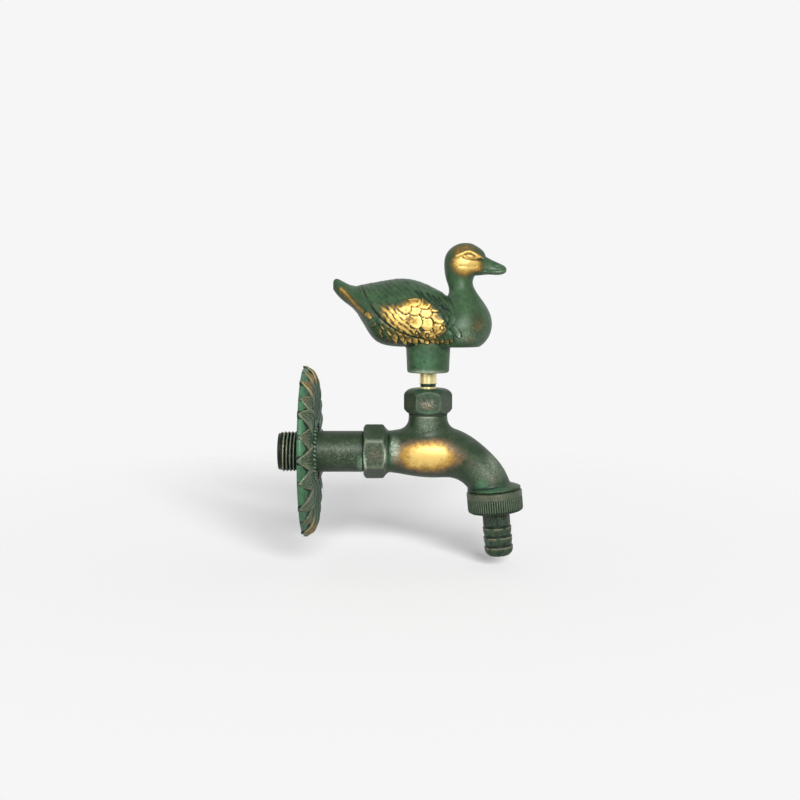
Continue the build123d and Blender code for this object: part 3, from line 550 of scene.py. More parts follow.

# %% [markdown]
# On the body the maker rubbed one bright oval on the swell of the valve chamber. The hollow beside the hexagon is pale
# with knocks and verdigris, and the spout is scuffed, with a painted highlight on its right and top. The neck under
# the bonnet is pale with scratches and verdigris that also paint a highlight there, and painted shade darkens the
# belly of the chamber.

# %% Body
BODY_SPOTS = {
    "rubbed": [
        ((63.2, -13.5, -1.6), (24.5, 11.0, 13.5), 0.95),
        ((63.6, -13.5, -0.6), (22.5, 10.0, 9.6), 1.02),
        ((84.0, -11.0, -5.0), (9.0, 8.0, 5.0), 0.3),
        ((36.5, -12.5, -0.5), (8.0, 6.0, 9.5), 0.38),
        ((97.0, -8.0, -13.0), (9.0, 10.0, 7.0), 0.26),
    ],
    "bloom": [
        ((45.8, -11.0, 1.5), (4.2, 6.0, 9.0), 1.0),
        ((31.6, -8.0, -4.0), (2.0, 9.0, 10.0), 0.9),
        ((92.0, -7.0, -16.5), (4.5, 10.0, 6.0), 1.0),
        ((97.0, -12.0, -18.6), (15.0, 9.0, 2.4), 0.7),
        ((61.0, -11.0, 14.0), (5.0, 8.0, 5.0), 0.35),
    ],
    "scuff": [
        ((46.4, -11.0, 2.5), (3.8, 6.0, 8.0), 2.2),
        ((36.5, -12.5, 0.0), (8.0, 6.0, 10.0), 0.55),
        ((32.2, -10.0, -1.0), (1.2, 8.0, 8.0), 1.4),
        ((42.6, -10.0, -2.0), (1.2, 8.0, 8.0), 1.4),
        # the spout: pale scratches, partly a painted highlight on its right and top
        ((95.0, -8.0, -9.0), (12.0, 9.0, 8.0), 0.6),
        ((97.5, -7.0, -5.5), (5.0, 6.0, 7.0), 1.0),
        # the neck under the bonnet: pale scratches, partly a painted highlight
        ((63.0, -11.0, 14.0), (8.0, 6.0, 6.0), 0.8),
    ],
    "wax": [
        # painted shade under the belly of the chamber
        ((62.0, -6.0, -15.5), (22.0, 11.0, 4.5), 0.3),
        ((31.0, -8.0, 4.0), (1.5, 12.0, 9.0), 0.8),
        ((44.4, -8.0, 5.5), (1.3, 12.0, 8.0), 0.5),
    ],
}
cast_piece("tap_body", "tap", 0.5, 10, BODY_SPOTS)

# %% [markdown]
# The bonnet is relaxed further, because the corners of the real one are rounder. Each flat carries a brown patch, and
# the front flat a small pale painted highlight; the domed top is painted darker, as shade. Relaxing also draws its
# bore in, so the bore is pushed back to clear the turning stem.

# %% Bonnet
STEM_AXIS_X, STEM_BORE_R = 64.3, 4.46
BONNET_SPOTS = {
    "rubbed": [
        ((63.5, -11.0, 25.0), (6.0, 4.0, 4.0), 0.5),
        ((53.5, -6.0, 26.0), (5.5, 7.0, 6.0), 0.34),
        ((75.0, -6.0, 26.0), (5.5, 7.0, 6.0), 0.32),
    ],
    "bloom": [((64.0, -9.0, 20.5), (13.0, 9.0, 2.5), 0.7), ((64.3, 0.0, 33.0), (9.0, 9.0, 3.0), 0.2)],
    # a small pale patch on the front flat is a painted highlight; the wider one is pale scratches
    "scuff": [((64.0, -11.0, 25.2), (5.0, 6.0, 3.0), 1.5), ((64.0, -11.0, 25.5), (13.0, 8.0, 6.0), 0.3)],
    # painted shade on the domed top
    "wax": [((64.3, -6.0, 31.8), (13.0, 13.0, 4.2), 0.75)],
}
cast_piece("bonnet", "tap", 0.32, 26, BONNET_SPOTS, bore=(STEM_AXIS_X, STEM_BORE_R))

# %% [markdown]
# The duck is the showpiece. On the real handle a carver cut the feathers into the master before it was cast, so the
# feathers are shape, not paint. The CAD duck gives the form. Its copy is rebuilt finely, and each point is then
# pushed in or out along its normal by a height that depends on its place in side view, alike on both sides.
# Feathers are small tongues laid like roof tiles: each rises from its root to its tip, and the upper ones lie on the
# lower ones. Grooves and ridges are lines with a soft profile, and rings and pits are round marks.


# %% Carving tools
def inside(outline, x, z):
    """True for the points that lie inside a closed outline in side view."""
    result = np.zeros(len(x), dtype=bool)
    for (x0, z0), (x1, z1) in zip(outline, outline[1:] + outline[:1]):
        crosses = (z0 > z) != (z1 > z)
        rise = (z1 - z0) or 1e-9
        result ^= crosses & (x < (x1 - x0) * (z - z0) / rise + x0)
    return result


def line_distance(line, x, z):
    """Distance from each point to a run of straight segments in side view."""
    best = np.full(len(x), 1e9)
    for (x0, z0), (x1, z1) in zip(line, line[1:]):
        dx, dz = x1 - x0, z1 - z0
        share = np.clip(((x - x0) * dx + (z - z0) * dz) / (dx * dx + dz * dz), 0.0, 1.0)
        best = np.minimum(best, np.hypot(x - x0 - share * dx, z - z0 - share * dz))
    return best


def soft_line(line, x, z, height, width):
    """A ridge (height above 0) or groove (below 0) along a line, with a round profile."""
    return height * np.exp(-((line_distance(line, x, z) / width) ** 2))


def round_marks(places, x, z, radius, width):
    """Soft rings of one radius round these places, or soft dots where the radius is 0."""
    return sum(np.exp(-(((np.hypot(x - a, z - b) - radius) / width) ** 2)) for a, b in places)


def lay_feathers(tips, x, z, heading, length, half_width, lift, trench):
    """Overlapping feathers, the last on top: heights, and a tone for rub and painted light, 0 at gap and root, 1 at
    tip.
    """
    height = np.zeros(len(x))
    rub_and_light_tone = np.full(len(x), np.nan)
    along = np.array([math.cos(heading), math.sin(heading)])
    for tip_x, tip_z in tips:
        p = (x - tip_x) * along[0] + (z - tip_z) * along[1]
        q = -(x - tip_x) * along[1] + (z - tip_z) * along[0]
        # first a trench round the feather, then the feather in it
        for grow in (trench, 0.0):
            round_part = 0.5 * length + grow
            taper = np.sqrt(np.clip(1 - np.clip((p + 0.5 * length) / round_part, 0, 1) ** 2, 0, 1))
            on = (p < grow) & (p > -length) & (np.abs(q) < (half_width + grow) * taper)
            slope = (p[on] + length) / length
            if grow:
                fresh = on & (p > -0.32 * length)
                height[fresh] = -0.3 * lift
                # the trench is tone 0: painted shadow under the feather's tip
                rub_and_light_tone[fresh] = 0.0
            else:
                crown = 1 - (q[on] / half_width) ** 2
                height[on] = lift * (0.1 + 0.6 * slope + 0.35 * crown)
                # the tone rises from root to tip: painted shade at the root and light at the tip, and more rubbing
                # towards the tip
                rub_and_light_tone[on] = ease(0.1, 0.8, slope)
    return height, rub_and_light_tone


def tile_grid(heading, rows, columns, row_step, column_step, start):
    """Feather tips in staggered rows, lowest row first."""
    along = np.array([math.cos(heading), math.sin(heading)])
    across = np.array([-along[1], along[0]])
    tips = []
    for row in range(rows):
        for column in range(columns):
            shift = column + 0.5 * (row % 2)
            tips.append(tuple(np.array(start) - along * row_step * row + across * column_step * shift))
    return tips


print("carving tools ready")

# %% [markdown]
# The blank is the CAD duck rebuilt from cubes of 0.4 mm. Where the bill meets the head, two lofts cross in a crease
# that the real casting doesn't have, so the points near there are smoothed by themselves.

# %% Duck blank
DUCK_VOXEL = 0.4
BILL_ROOT = ((88.6, -5.5, 94.6), (5.0, 6.0, 4.4), 1.0)
BILL_ROOT_PASSES = 50
duck_mesh = remeshed(merged_copy("duck_handle"), DUCK_VOXEL, 2)
near_root = np.flatnonzero(soft_spots(points_of(duck_mesh), [BILL_ROOT]) > 0.1)
with edited(duck_mesh) as work:
    work.verts.ensure_lookup_table()
    root = [work.verts[index] for index in near_root]
    for _ in range(BILL_ROOT_PASSES):
        bmesh.ops.smooth_vert(work, verts=root, factor=0.5, use_axis_x=True, use_axis_y=True, use_axis_z=True)
points = points_of(duck_mesh)
outward = normals_of(duck_mesh)
px, py, pz = points.T
side = ease(2.0, 6.0, np.abs(py))
height = np.zeros(len(points))
print("duck blank:", len(points), "points, of which", len(near_root), "at the bill's root")

# %% [markdown]
# The wing has scale feathers in its middle, a little out of line as a carver's are, and fine strokes round them that
# run down and back and break off here and there. Deeper cuts mark the shoulder, small rings decorate the lower
# scales, and a groove under the wing's edge fades towards the front.

# %% Carve the wing
WING_EDGE = [(30.2, 86.0), (33.3, 78.1), (36.9, 72.3), (42.0, 67.0), (49.3, 61.9), (57.1, 59.3), (63.6, 58.3)]
WING_FRONT = [(69.6, 59.8), (73.0, 64.0), (74.2, 70.0), (72.0, 78.6)]
WING_EDGE += WING_FRONT[:1]
on_wing = inside(WING_EDGE + WING_FRONT[1:] + [(66.0, 96.0), (28.0, 96.0)], px, pz)
SCALE_RUN, SCALE_SCATTER = math.radians(-50), 1.0
scale_tips = np.array(tile_grid(SCALE_RUN, 5, 6, 4.8, 6.4, (66.0, 57.4)))
scale_tips += np.random.default_rng(4).uniform(-SCALE_SCATTER, SCALE_SCATTER, scale_tips.shape)
scales, scale_rub_and_light = lay_feathers(scale_tips, px, pz, SCALE_RUN, 7.8, 3.1, 1.1, 0.36)
scale_zone = on_wing & ~np.isnan(scale_rub_and_light) & (pz < 78.6 - 0.1 * np.abs(px - 57)) & (px > 45.0 + 0.3 * (pz - 66))
height += np.where(scale_zone, scales, 0.0)

SHOULDER_STROKES = [
    [(57.7, 82.6), (60.6, 79.7)],
    [(60.4, 81.8), (64.4, 76.8)],
    [(63.3, 81.4), (69.4, 74.9)],
    [(66.4, 80.4), (73.0, 73.0)],
    [(69.4, 79.4), (74.4, 72.9)],
    [(66.6, 76.0), (71.6, 70.6)],
    [(70.2, 75.6), (74.0, 69.6)],
    [(71.2, 69.8), (73.6, 65.6)],
]
shoulder = sum(soft_line(stroke, px, pz, 1.0, 0.5) for stroke in SHOULDER_STROKES) * side
height -= 0.5 * shoulder

STROKE_RUN, STROKE_PITCH = math.radians(-44), 2.3
stroke_zone = on_wing & ~scale_zone
stroke_p = px * math.cos(STROKE_RUN) + pz * math.sin(STROKE_RUN)
stroke_q = px * -math.sin(STROKE_RUN) + pz * math.cos(STROKE_RUN)
strokes = np.abs(np.sin(math.pi * (stroke_q + 0.5 * np.sin(stroke_p * 0.4)) / STROKE_PITCH)) ** 0.35


def breaks(pace):
    """Where the strokes break off along their length, from -1 to 1, shifted from each stroke to the next."""
    return np.sin(stroke_p * pace + np.floor(stroke_q / STROKE_PITCH) * 2.1)


stroke_depth = np.where(pz > 79, 0.34, 0.16) * (0.55 + 0.45 * breaks(0.9))
height += np.where(stroke_zone, stroke_depth * (strokes - 0.5), 0.0)

RING_MARKS = [(56.0, 64.8), (60.4, 63.6), (65.6, 63.4), (70.6, 64.4), (58.2, 61.4), (63.4, 60.8)]
rings = round_marks(RING_MARKS, px, pz, 0.9, 0.3)
height -= 0.3 * rings * side
edge_fade = 0.25 + 0.75 * (1 - ease(36.0, 46.0, px))
height += soft_line(WING_EDGE, px, pz, -0.8, 0.55) * side * edge_fade
print("wing:", len(scale_tips), "scale feathers,", len(SHOULDER_STROKES), "shoulder cuts")

# %% [markdown]
# Under the wing a fringe of small flame-shaped feathers runs along the belly, and the tail has fine ribs.

# %% Carve the belly and the tail
BELLY_TIPS = [
    *((36.2, 66.4), (38.8, 62.8), (41.2, 59.6), (45.2, 57.0), (48.2, 56.6), (53.0, 56.4), (58.6, 56.0)),
    *((64.2, 55.8), (69.4, 56.0), (74.2, 56.2), (42.8, 63.4), (45.6, 60.9), (48.6, 59.0), (51.8, 57.9)),
    *((55.4, 57.2), (58.6, 56.9), (61.6, 56.9), (66.8, 56.9), (71.6, 57.2), (76.2, 57.6), (79.8, 59.4)),
]
belly, belly_rub_and_light = lay_feathers(BELLY_TIPS, px, pz, math.radians(-56), 7.0, 1.35, 0.8, 0.4)
belly_zone = ~on_wing & ~np.isnan(belly_rub_and_light)
height += np.where(belly_zone, belly, 0.0)

TAIL_RUN, TAIL_RIB_PITCH = math.radians(-45), 1.9
on_tail = ~on_wing & (px < 38) & (pz > 64)
tail_q = px * -math.sin(TAIL_RUN) + pz * math.cos(TAIL_RUN) + 0.25 * np.sin(px * 0.5)
tail_ribs = np.abs(np.sin(math.pi * tail_q / TAIL_RIB_PITCH)) ** 0.5
height += np.where(on_tail, 0.16 * (tail_ribs - 0.6) * ease(16.5, 21.0, px), 0.0)
print("belly:", len(BELLY_TIPS), "feathers")

# %% [markdown]
# The face has a raised almond eye with a groove round it, a brow above, a crease and a cheek line below, and the
# mouth line and nostril along the side of the bill. That is the last of the carving, so every point now moves out or
# in by its height. The boss below the duck stays as it is, and nothing may leave the box of the CAD duck.

# %% Carve the face
EYE, EYE_HALVES, EYE_TILT = (85.1, 100.2), (1.9, 0.75), 0.18
BROW = [(78.5, 100.2), (81.2, 101.4), (83.6, 102.4), (85.4, 102.4), (87.2, 101.3), (91.5, 98.9)]
CREASE = [(81.6, 99.6), (83.4, 98.6), (86.4, 98.3), (90.8, 98.5)]
CHEEK = [(80.0, 95.4), (84.0, 95.0), (88.0, 95.4)]
MOUTH = [(92.0, 93.0), (94.0, 93.2), (96.0, 92.6), (99.6, 93.0), (102.6, 93.4)]
NOSTRIL = [(98.2, 95.4), (100.0, 94.8)]
eye_x = (px - EYE[0]) * math.cos(EYE_TILT) - (pz - EYE[1]) * math.sin(EYE_TILT)
eye_z = (px - EYE[0]) * math.sin(EYE_TILT) + (pz - EYE[1]) * math.cos(EYE_TILT)
eye_reach = np.hypot(eye_x / EYE_HALVES[0], eye_z / EYE_HALVES[1])
eye_ring = np.exp(-(((eye_reach - 1.3) / 0.3) ** 2))
face = ease(3.0, 5.0, np.abs(py))
height += face * (0.55 * np.clip(1 - eye_reach**2, 0, 1) ** 0.5 - 0.2 * eye_ring)
for line, lift, width in ((BROW, 0.8, 0.75), (CREASE, -0.36, 0.55), (CHEEK, -0.22, 0.6)):
    height += face * soft_line(line, px, pz, lift, width)
bill_side = ease(1.6, 3.0, np.abs(py)) * (px > 88.5)
height += bill_side * (soft_line(MOUTH, px, pz, -0.5, 0.42) + soft_line(NOSTRIL, px, pz, -0.4, 0.45))

above_boss = ease(55.0, 56.5, pz)
points += outward * (height * above_boss)[:, None]
duck_box = [np.array(corner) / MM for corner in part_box("duck_handle")]
points = np.clip(points, *duck_box)
set_points(duck_mesh, points)
print("carved from", round(float(height.min()), 2), "to", round(float(height.max()), 2), "mm")

# %% [markdown]
# Now the wear and the painted shade. The maker rubbed the wing, the cheek and the belly's fringe to gold, browner at
# the rims and mottled inside, and each feather is painted darker at its root and lighter at its tip. A streak runs
# down the tail. Between the feathers lies dark wax, with painted shadow under each tip. Dark wax also lies in the
# strokes, in the lines of the face and in a few casting pits on the boss, and the crease under the eye holds painted
# shade as well. A stain darkens the breast, and the back is darker than the rest.

# %% Wear on the duck
GOLD_WING = [(39, 75.6), (49.8, 76.8), (55.8, 80.1), (64.7, 76.6), (71.2, 68.2), (72.7, 63.2), (64.8, 57.4)]
GOLD_WING += [(49.8, 60.4), (41.4, 67.2)]
TAIL_STREAK = [(20.0, 83.2), (25.0, 78.0), (30.8, 72.2), (35.1, 70.3)]
BELLY_LINE = [(36.0, 66.5), (42.0, 61.5), (49.5, 58.2), (61.0, 56.8), (75.0, 56.8)]
BOSS_PITS = [(62.0, 46.9), (57.2, 44.2), (70.8, 50.3)]
DUCK_SPOTS = {
    "rubbed": [
        ((84.2, -7.0, 97.1), (11.5, 5.5, 8.6), 1.2),
        ((82.5, -5.0, 102.6), (12.0, 8.0, 8.0), 0.56),
        ((47.0, -8.0, 84.0), (26.0, 16.0, 10.0), 0.34),
        ((88.5, -13.0, 66.8), (5.2, 9.0, 7.6), 0.86),
        ((84.0, -13.0, 59.5), (6.5, 6.0, 5.0), 0.34),
    ],
    "bloom": [((61.5, -11.5, 47.5), (12.0, 8.0, 10.0), 0.55)],
    "scuff": [
        ((82.4, -13.0, 60.2), (5.0, 9.0, 4.6), 1.1),
        ((86.0, -13.0, 62.5), (9.0, 9.0, 8.0), 0.5),
        ((98.0, -3.0, 92.0), (8.0, 4.0, 2.5), 0.5),
        ((63.0, -9.0, 41.6), (12.0, 9.0, 1.8), 0.9),
    ],
    # a stain on the breast, and a darker back
    "wax": [((88.6, -13.0, 67.2), (5.0, 9.0, 7.2), 0.42), ((47.0, -8.0, 85.0), (24.0, 16.0, 10.0), 0.2)],
}
wear = spot_wear(points, DUCK_SPOTS)
gold_gap = line_distance(GOLD_WING + GOLD_WING[:1], px, pz) * np.where(inside(GOLD_WING, px, pz), 1, -1)
# the tone: painted shade and light across the scale feathers, and the strokes' valleys
rub_and_light_tone = np.where(scale_zone, np.nan_to_num(scale_rub_and_light), np.where(stroke_zone, strokes, 1.0))
wing_rub = ease(-3.6, 4.4, gold_gap) * side
# the rub follows the tone, so each scale is painted darker at its root and lighter at its tip
wing_rub *= (0.68 + 0.34 * rub_and_light_tone - 0.3 * rings) * (0.94 + 0.16 * uneven(px, pz, 1.6))
tail_rub = soft_line(TAIL_STREAK, px, pz, 0.6, 2.2)
# the belly's feathers are painted the same way, lighter at the tip
belly_rub = soft_line(BELLY_LINE, px, pz, 0.66, 2.6) * np.where(belly_zone, np.nan_to_num(belly_rub_and_light), 0.5)
belly_rub *= 1 - 0.6 * ease(60, 76, px)
wear["rubbed"] = np.maximum.reduce([wing_rub, tail_rub, belly_rub, wear["rubbed"]])

# dark wax in the cuts and strokes, and painted shadow in the trenches under the feather tips
wax_and_shadow_gaps = np.where(scale_zone & (scale_rub_and_light == 0), 0.04, 0.0) + 0.75 * shoulder
wax_and_shadow_gaps += np.where(belly_zone & (belly_rub_and_light == 0), 0.4, 0.0)
broken_strokes = (1 - strokes) * (0.5 + 0.5 * breaks(np.where(pz > 74, 0.9, 1.5))) * side
wax_and_shadow_gaps += np.where(stroke_zone, np.where(pz > 78, 0.65, 1.1) * broken_strokes, 0.0)
# the crease under the eye is darkened with painted shade as well as wax
wax_and_shadow_gaps += face * (0.2 * eye_ring + soft_line(CREASE, px, pz, 0.4, 0.6) + soft_line(CHEEK, px, pz, 0.16, 0.4))
edge = edge_values(duck_mesh, 0.2, 5) * np.where(pz > 88, 0.4, 1.0)
edge *= np.where(scale_zone & (edge < 0), 0.8 * (0.6 + 0.4 * uneven(px, pz, 2.6)), 1.0)
edge = np.where(stroke_zone & (pz > 76), np.minimum(edge, 0.05), edge)
edge = np.minimum(edge, np.where(wax_and_shadow_gaps > 0.02, -wax_and_shadow_gaps, 1.5))
edge -= 0.9 * round_marks(BOSS_PITS, px, pz, 0.0, 0.55) + wear.pop("wax")
add_piece("duck_cast", duck_mesh, "handle", "duck_handle", duck_patina, edge=edge, **wear)

# %% [markdown]
# What repeats round an axis comes from one small Geometry Nodes tree. It sets Count points on the centre, turns each
# by its share of a full turn about the axis and by a little random wobble, puts a copy of one piece on each, and makes
# the copies real. The tree is built once and then used for the leaves, the rope border and the ridges of the nut.


# %% Geometry Nodes: a ring of copies
def new_tree(name, sockets):
    """A geometry tree with named inputs, the function that adds a node to it, and its input sockets."""
    tree = bpy.data.node_groups.new(name, "GeometryNodeTree")
    for label, kind in sockets.items():
        tree.interface.new_socket(label, in_out="INPUT", socket_type=f"NodeSocket{kind}")
    tree.interface.new_socket("Shape", in_out="OUTPUT", socket_type="NodeSocketGeometry")
    return tree, partial(add_node, tree), add_node(tree, "NodeGroupInput").outputs


def finish_tree(add, shape, finish):
    """Makes a tree's shape real, gives it its finish and hands it out."""
    real = add("GeometryNodeRealizeInstances", {"Geometry": shape})
    finished = add("GeometryNodeSetMaterial", {"Geometry": real, "Material": finish})
    add("NodeGroupOutput", {"Shape": finished})


def grown(tree, **given):
    """The plain mesh that a tree makes from these inputs, which are set by their sockets' identifiers."""
    holder = bpy.data.objects.new(tree.name, bpy.data.meshes.new(tree.name))
    bpy.context.collection.objects.link(holder)
    maker = holder.modifiers.new(tree.name, "NODES")
    maker.node_group = tree
    for socket in tree.interface.items_tree:
        if socket.in_out == "INPUT":
            maker[socket.identifier] = given[socket.name]
    mesh = evaluated_mesh(holder)
    holder.modifiers.remove(maker)
    bpy.data.objects.remove(holder)
    return mesh


WOBBLE_SEED = 3
RING_INPUTS = {"Piece": "Object", "Count": "Int", "Axis": "Vector", "Centre": "Vector"}
RING_INPUTS |= {"Wobble": "Float", "Finish": "Material"}
ring_tree, add, given = new_tree("ring_of_copies", RING_INPUTS)
start = {"Count": given["Count"], "Start Location": given["Centre"], "Offset": (0, 0, 0)}
spots = add("GeometryNodeMeshLine", start)
step = add(MATH, {0: math.tau, 1: given["Count"]}, operation="DIVIDE")
order = add("GeometryNodeInputIndex")
angle = add(MATH, {0: order, 1: step}, operation="MULTIPLY")
least = add(MATH, {0: given["Wobble"], 1: -1.0}, operation="MULTIPLY")
sway = add("FunctionNodeRandomValue", {2: least, 3: given["Wobble"], "Seed": WOBBLE_SEED})
angle = add(MATH, {0: angle, 1: sway}, operation="ADD")
turn = add("FunctionNodeAxisAngleToRotation", {"Axis": given["Axis"], "Angle": angle})
shape = add("GeometryNodeObjectInfo", {"Object": given["Piece"]}).outputs["Geometry"]
copies = add("GeometryNodeInstanceOnPoints", {"Points": spots, "Instance": shape, "Rotation": turn})
finish_tree(add, copies, given["Finish"])


def ring_of(template, count, axis, centre_mm=(0.0, 0.0, 0.0), wobble=0.0):
    """Copies of a template mesh turned about an axis, evenly or with a little wobble, in radians."""
    piece = bpy.data.objects.new("ring_template", template)
    bpy.context.collection.objects.link(piece)
    centre = tuple(value * MM for value in centre_mm)
    mesh = grown(ring_tree, Piece=piece, Count=count, Axis=tuple(axis), Centre=centre, Wobble=wobble, Finish=patina)
    bpy.data.objects.remove(piece)
    return mesh


print("ring tree:", len(ring_tree.nodes), "nodes")

# %% [markdown]
# Two more kinds of mesh. A sheet of points becomes a closed skin when it has a face side and a back side, which suits
# a leaf. A turned piece is an outline swept round an axis, with its corners softened as a casting's are.


# %% Helpers for leaves and turned pieces
def mesh_from(name, points, faces):
    """A mesh from points in mm, with doubles merged and its faces turned outwards."""
    mesh = bpy.data.meshes.new(name)
    mesh.from_pydata((np.asarray(points) * MM).tolist(), [], faces)
    with edited(mesh) as work:
        bmesh.ops.remove_doubles(work, verts=work.verts, dist=1e-7)
        bmesh.ops.recalc_face_normals(work, faces=work.faces)
    return mesh


def closed_sheet(name, face, back):
    """A closed skin from two grids of points with the same rows and columns."""
    rows, columns = face.shape[:2]
    count = rows * columns
    grid = [[r * columns + c for c in range(columns)] for r in range(rows)]
    faces = []
    for r in range(rows - 1):
        for c in range(columns - 1):
            quad = [grid[r][c], grid[r][c + 1], grid[r + 1][c + 1], grid[r + 1][c]]
            faces += [quad, [index + count for index in reversed(quad)]]
    rim = grid[0] + [row[-1] for row in grid[1:]] + grid[-1][-2::-1] + [row[0] for row in grid[-2:0:-1]]
    for here, there in zip(rim, rim[1:] + rim[:1]):
        faces.append([there, here, here + count, there + count])
    return mesh_from(name, np.concatenate([face.reshape(-1, 3), back.reshape(-1, 3)]), faces)


def softened(outline, reach, steps=4):
    """The closed outline with each corner replaced by a short curve."""
    corners = [np.array(corner, dtype=float) for corner in outline]
    result = []
    for before, corner, after in zip(corners[-1:] + corners[:-1], corners, corners[1:] + corners[:1]):
        arms = [end - corner for end in (before, after)]
        cuts = [arm * min(0.45, reach / np.linalg.norm(arm)) for arm in arms]
        for share in np.linspace(0, 1, steps):
            result.append(corner + cuts[0] * (1 - share) ** 2 + cuts[1] * share**2)
    return result


def turned_mesh(name, outline, origin, along, steps=144):
    """A closed outline of (radius, place along the axis) points in mm, swept round the axis."""
    along = np.array(along)
    across = np.array([0.0, 1.0, 0.0])
    third = np.cross(along, across)
    points, faces = [], []
    count = len(outline)
    for j in range(steps):
        turned = math.tau * j / steps
        spoke = across * math.cos(turned) + third * math.sin(turned)
        points += [np.array(origin) + along * place + spoke * radius for radius, place in outline]
        for i in range(count):
            nxt, k = (i + 1) % count, (j + 1) % steps
            faces.append([j * count + i, j * count + nxt, k * count + nxt, k * count + i])
    return mesh_from(name, points, faces)


PIPE_AXIS = (1.0, 0.0, 0.0)
print("leaf and turning helpers ready")

# %% [markdown]
# The wall rosette is a cast plate: two rings of twelve pointed leaves on a low dish, round a hub with a rope border.
# The dish is turned: a shallow cone with a round edge, hollow at the back. Pale verdigris grew on its rim, where
# rubbing doesn't reach.

# %% Rosette: the dish
ROSETTE_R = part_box("wall_rosette")[1][1] / MM
DISH_HUB, DISH_SHOULDER, DISH_RIM = (13.4, 5.4), (33.5, 6.0), (ROSETTE_R + 1.0, 0.2)
DISH_SINK, DISH_WALL = 0.1, 2.0
HUB_OUTLINE = [(10.65, 0.0), (10.65, 2.3), (10.85, 2.3), (10.85, 6.6), (14.2, 6.6), (14.6, 5.3)]
FOOT_OUTLINE = [(43.6, 0.8), (43.0, 0.05), (40.6, 0.0), (37.4, 0.0)]


def dish_face(radius):
    """Height of the dish above the wall: a shallow cone to the shoulder, then a round edge."""
    slope = (DISH_SHOULDER[1] - DISH_HUB[1]) / (DISH_SHOULDER[0] - DISH_HUB[0])
    inward = np.array([slope, -1.0]) / math.hypot(slope, 1.0)
    chord = np.array(DISH_RIM) - np.array(DISH_SHOULDER)
    bend = (chord @ chord) / (2 * (inward @ chord))
    middle = np.array(DISH_SHOULDER) + inward * bend
    cone = DISH_HUB[1] + slope * (radius - DISH_HUB[0])
    edge = middle[1] + np.sqrt(np.maximum(bend**2 - (radius - middle[0]) ** 2, 0.0))
    return np.where(radius < DISH_SHOULDER[0], cone, edge)


dish_outline = HUB_OUTLINE + [(r, float(dish_face(r)) - DISH_SINK) for r in np.linspace(15.0, 43.3, 32)]
dish_outline += FOOT_OUTLINE + [(r, float(dish_face(r)) - DISH_WALL) for r in np.linspace(37.3, 14.6, 12)]
dish_outline += [(14.4, 0.0)]
dish = turned_mesh("dish", dish_outline, (0, 0, 0), PIPE_AXIS)
x, y, z = points_of(dish).T
dish_edge = np.clip(edge_values(dish, 0.3, 2), -1.0, 0.2)
dish_bloom = 0.2 + 0.7 * ease(34.0, 41.0, np.hypot(y, z))
add_piece("rosette_dish", dish, "tap", "wall_rosette", edge=dish_edge, bloom=dish_bloom)

# %% [markdown]
# One leaf is a closed sheet. Its face follows the dish, stands a millimetre proud, has fine ribs that fan out from the
# hub, and is cupped at the tip with a raised lip, which is where the maker's rubbing shows. The second ring lies lower
# and fills the gaps. A hand set the leaves, so each is turned a little out of line. The rubbing is strongest at the
# top and the bottom of the plate.

# %% Rosette: the leaves
LEAF_COUNT, LEAF_RIBS, LEAF_WOBBLE = 12, 7, math.radians(2.6)
LEAF_BASE_R, LEAF_WIDEST_R, LEAF_HALF_ANGLE = 16.4, 31.0, math.radians(14.25)
LEAF_ROWS, LEAF_COLUMNS, LEAF_THICK = 46, 43, 1.9


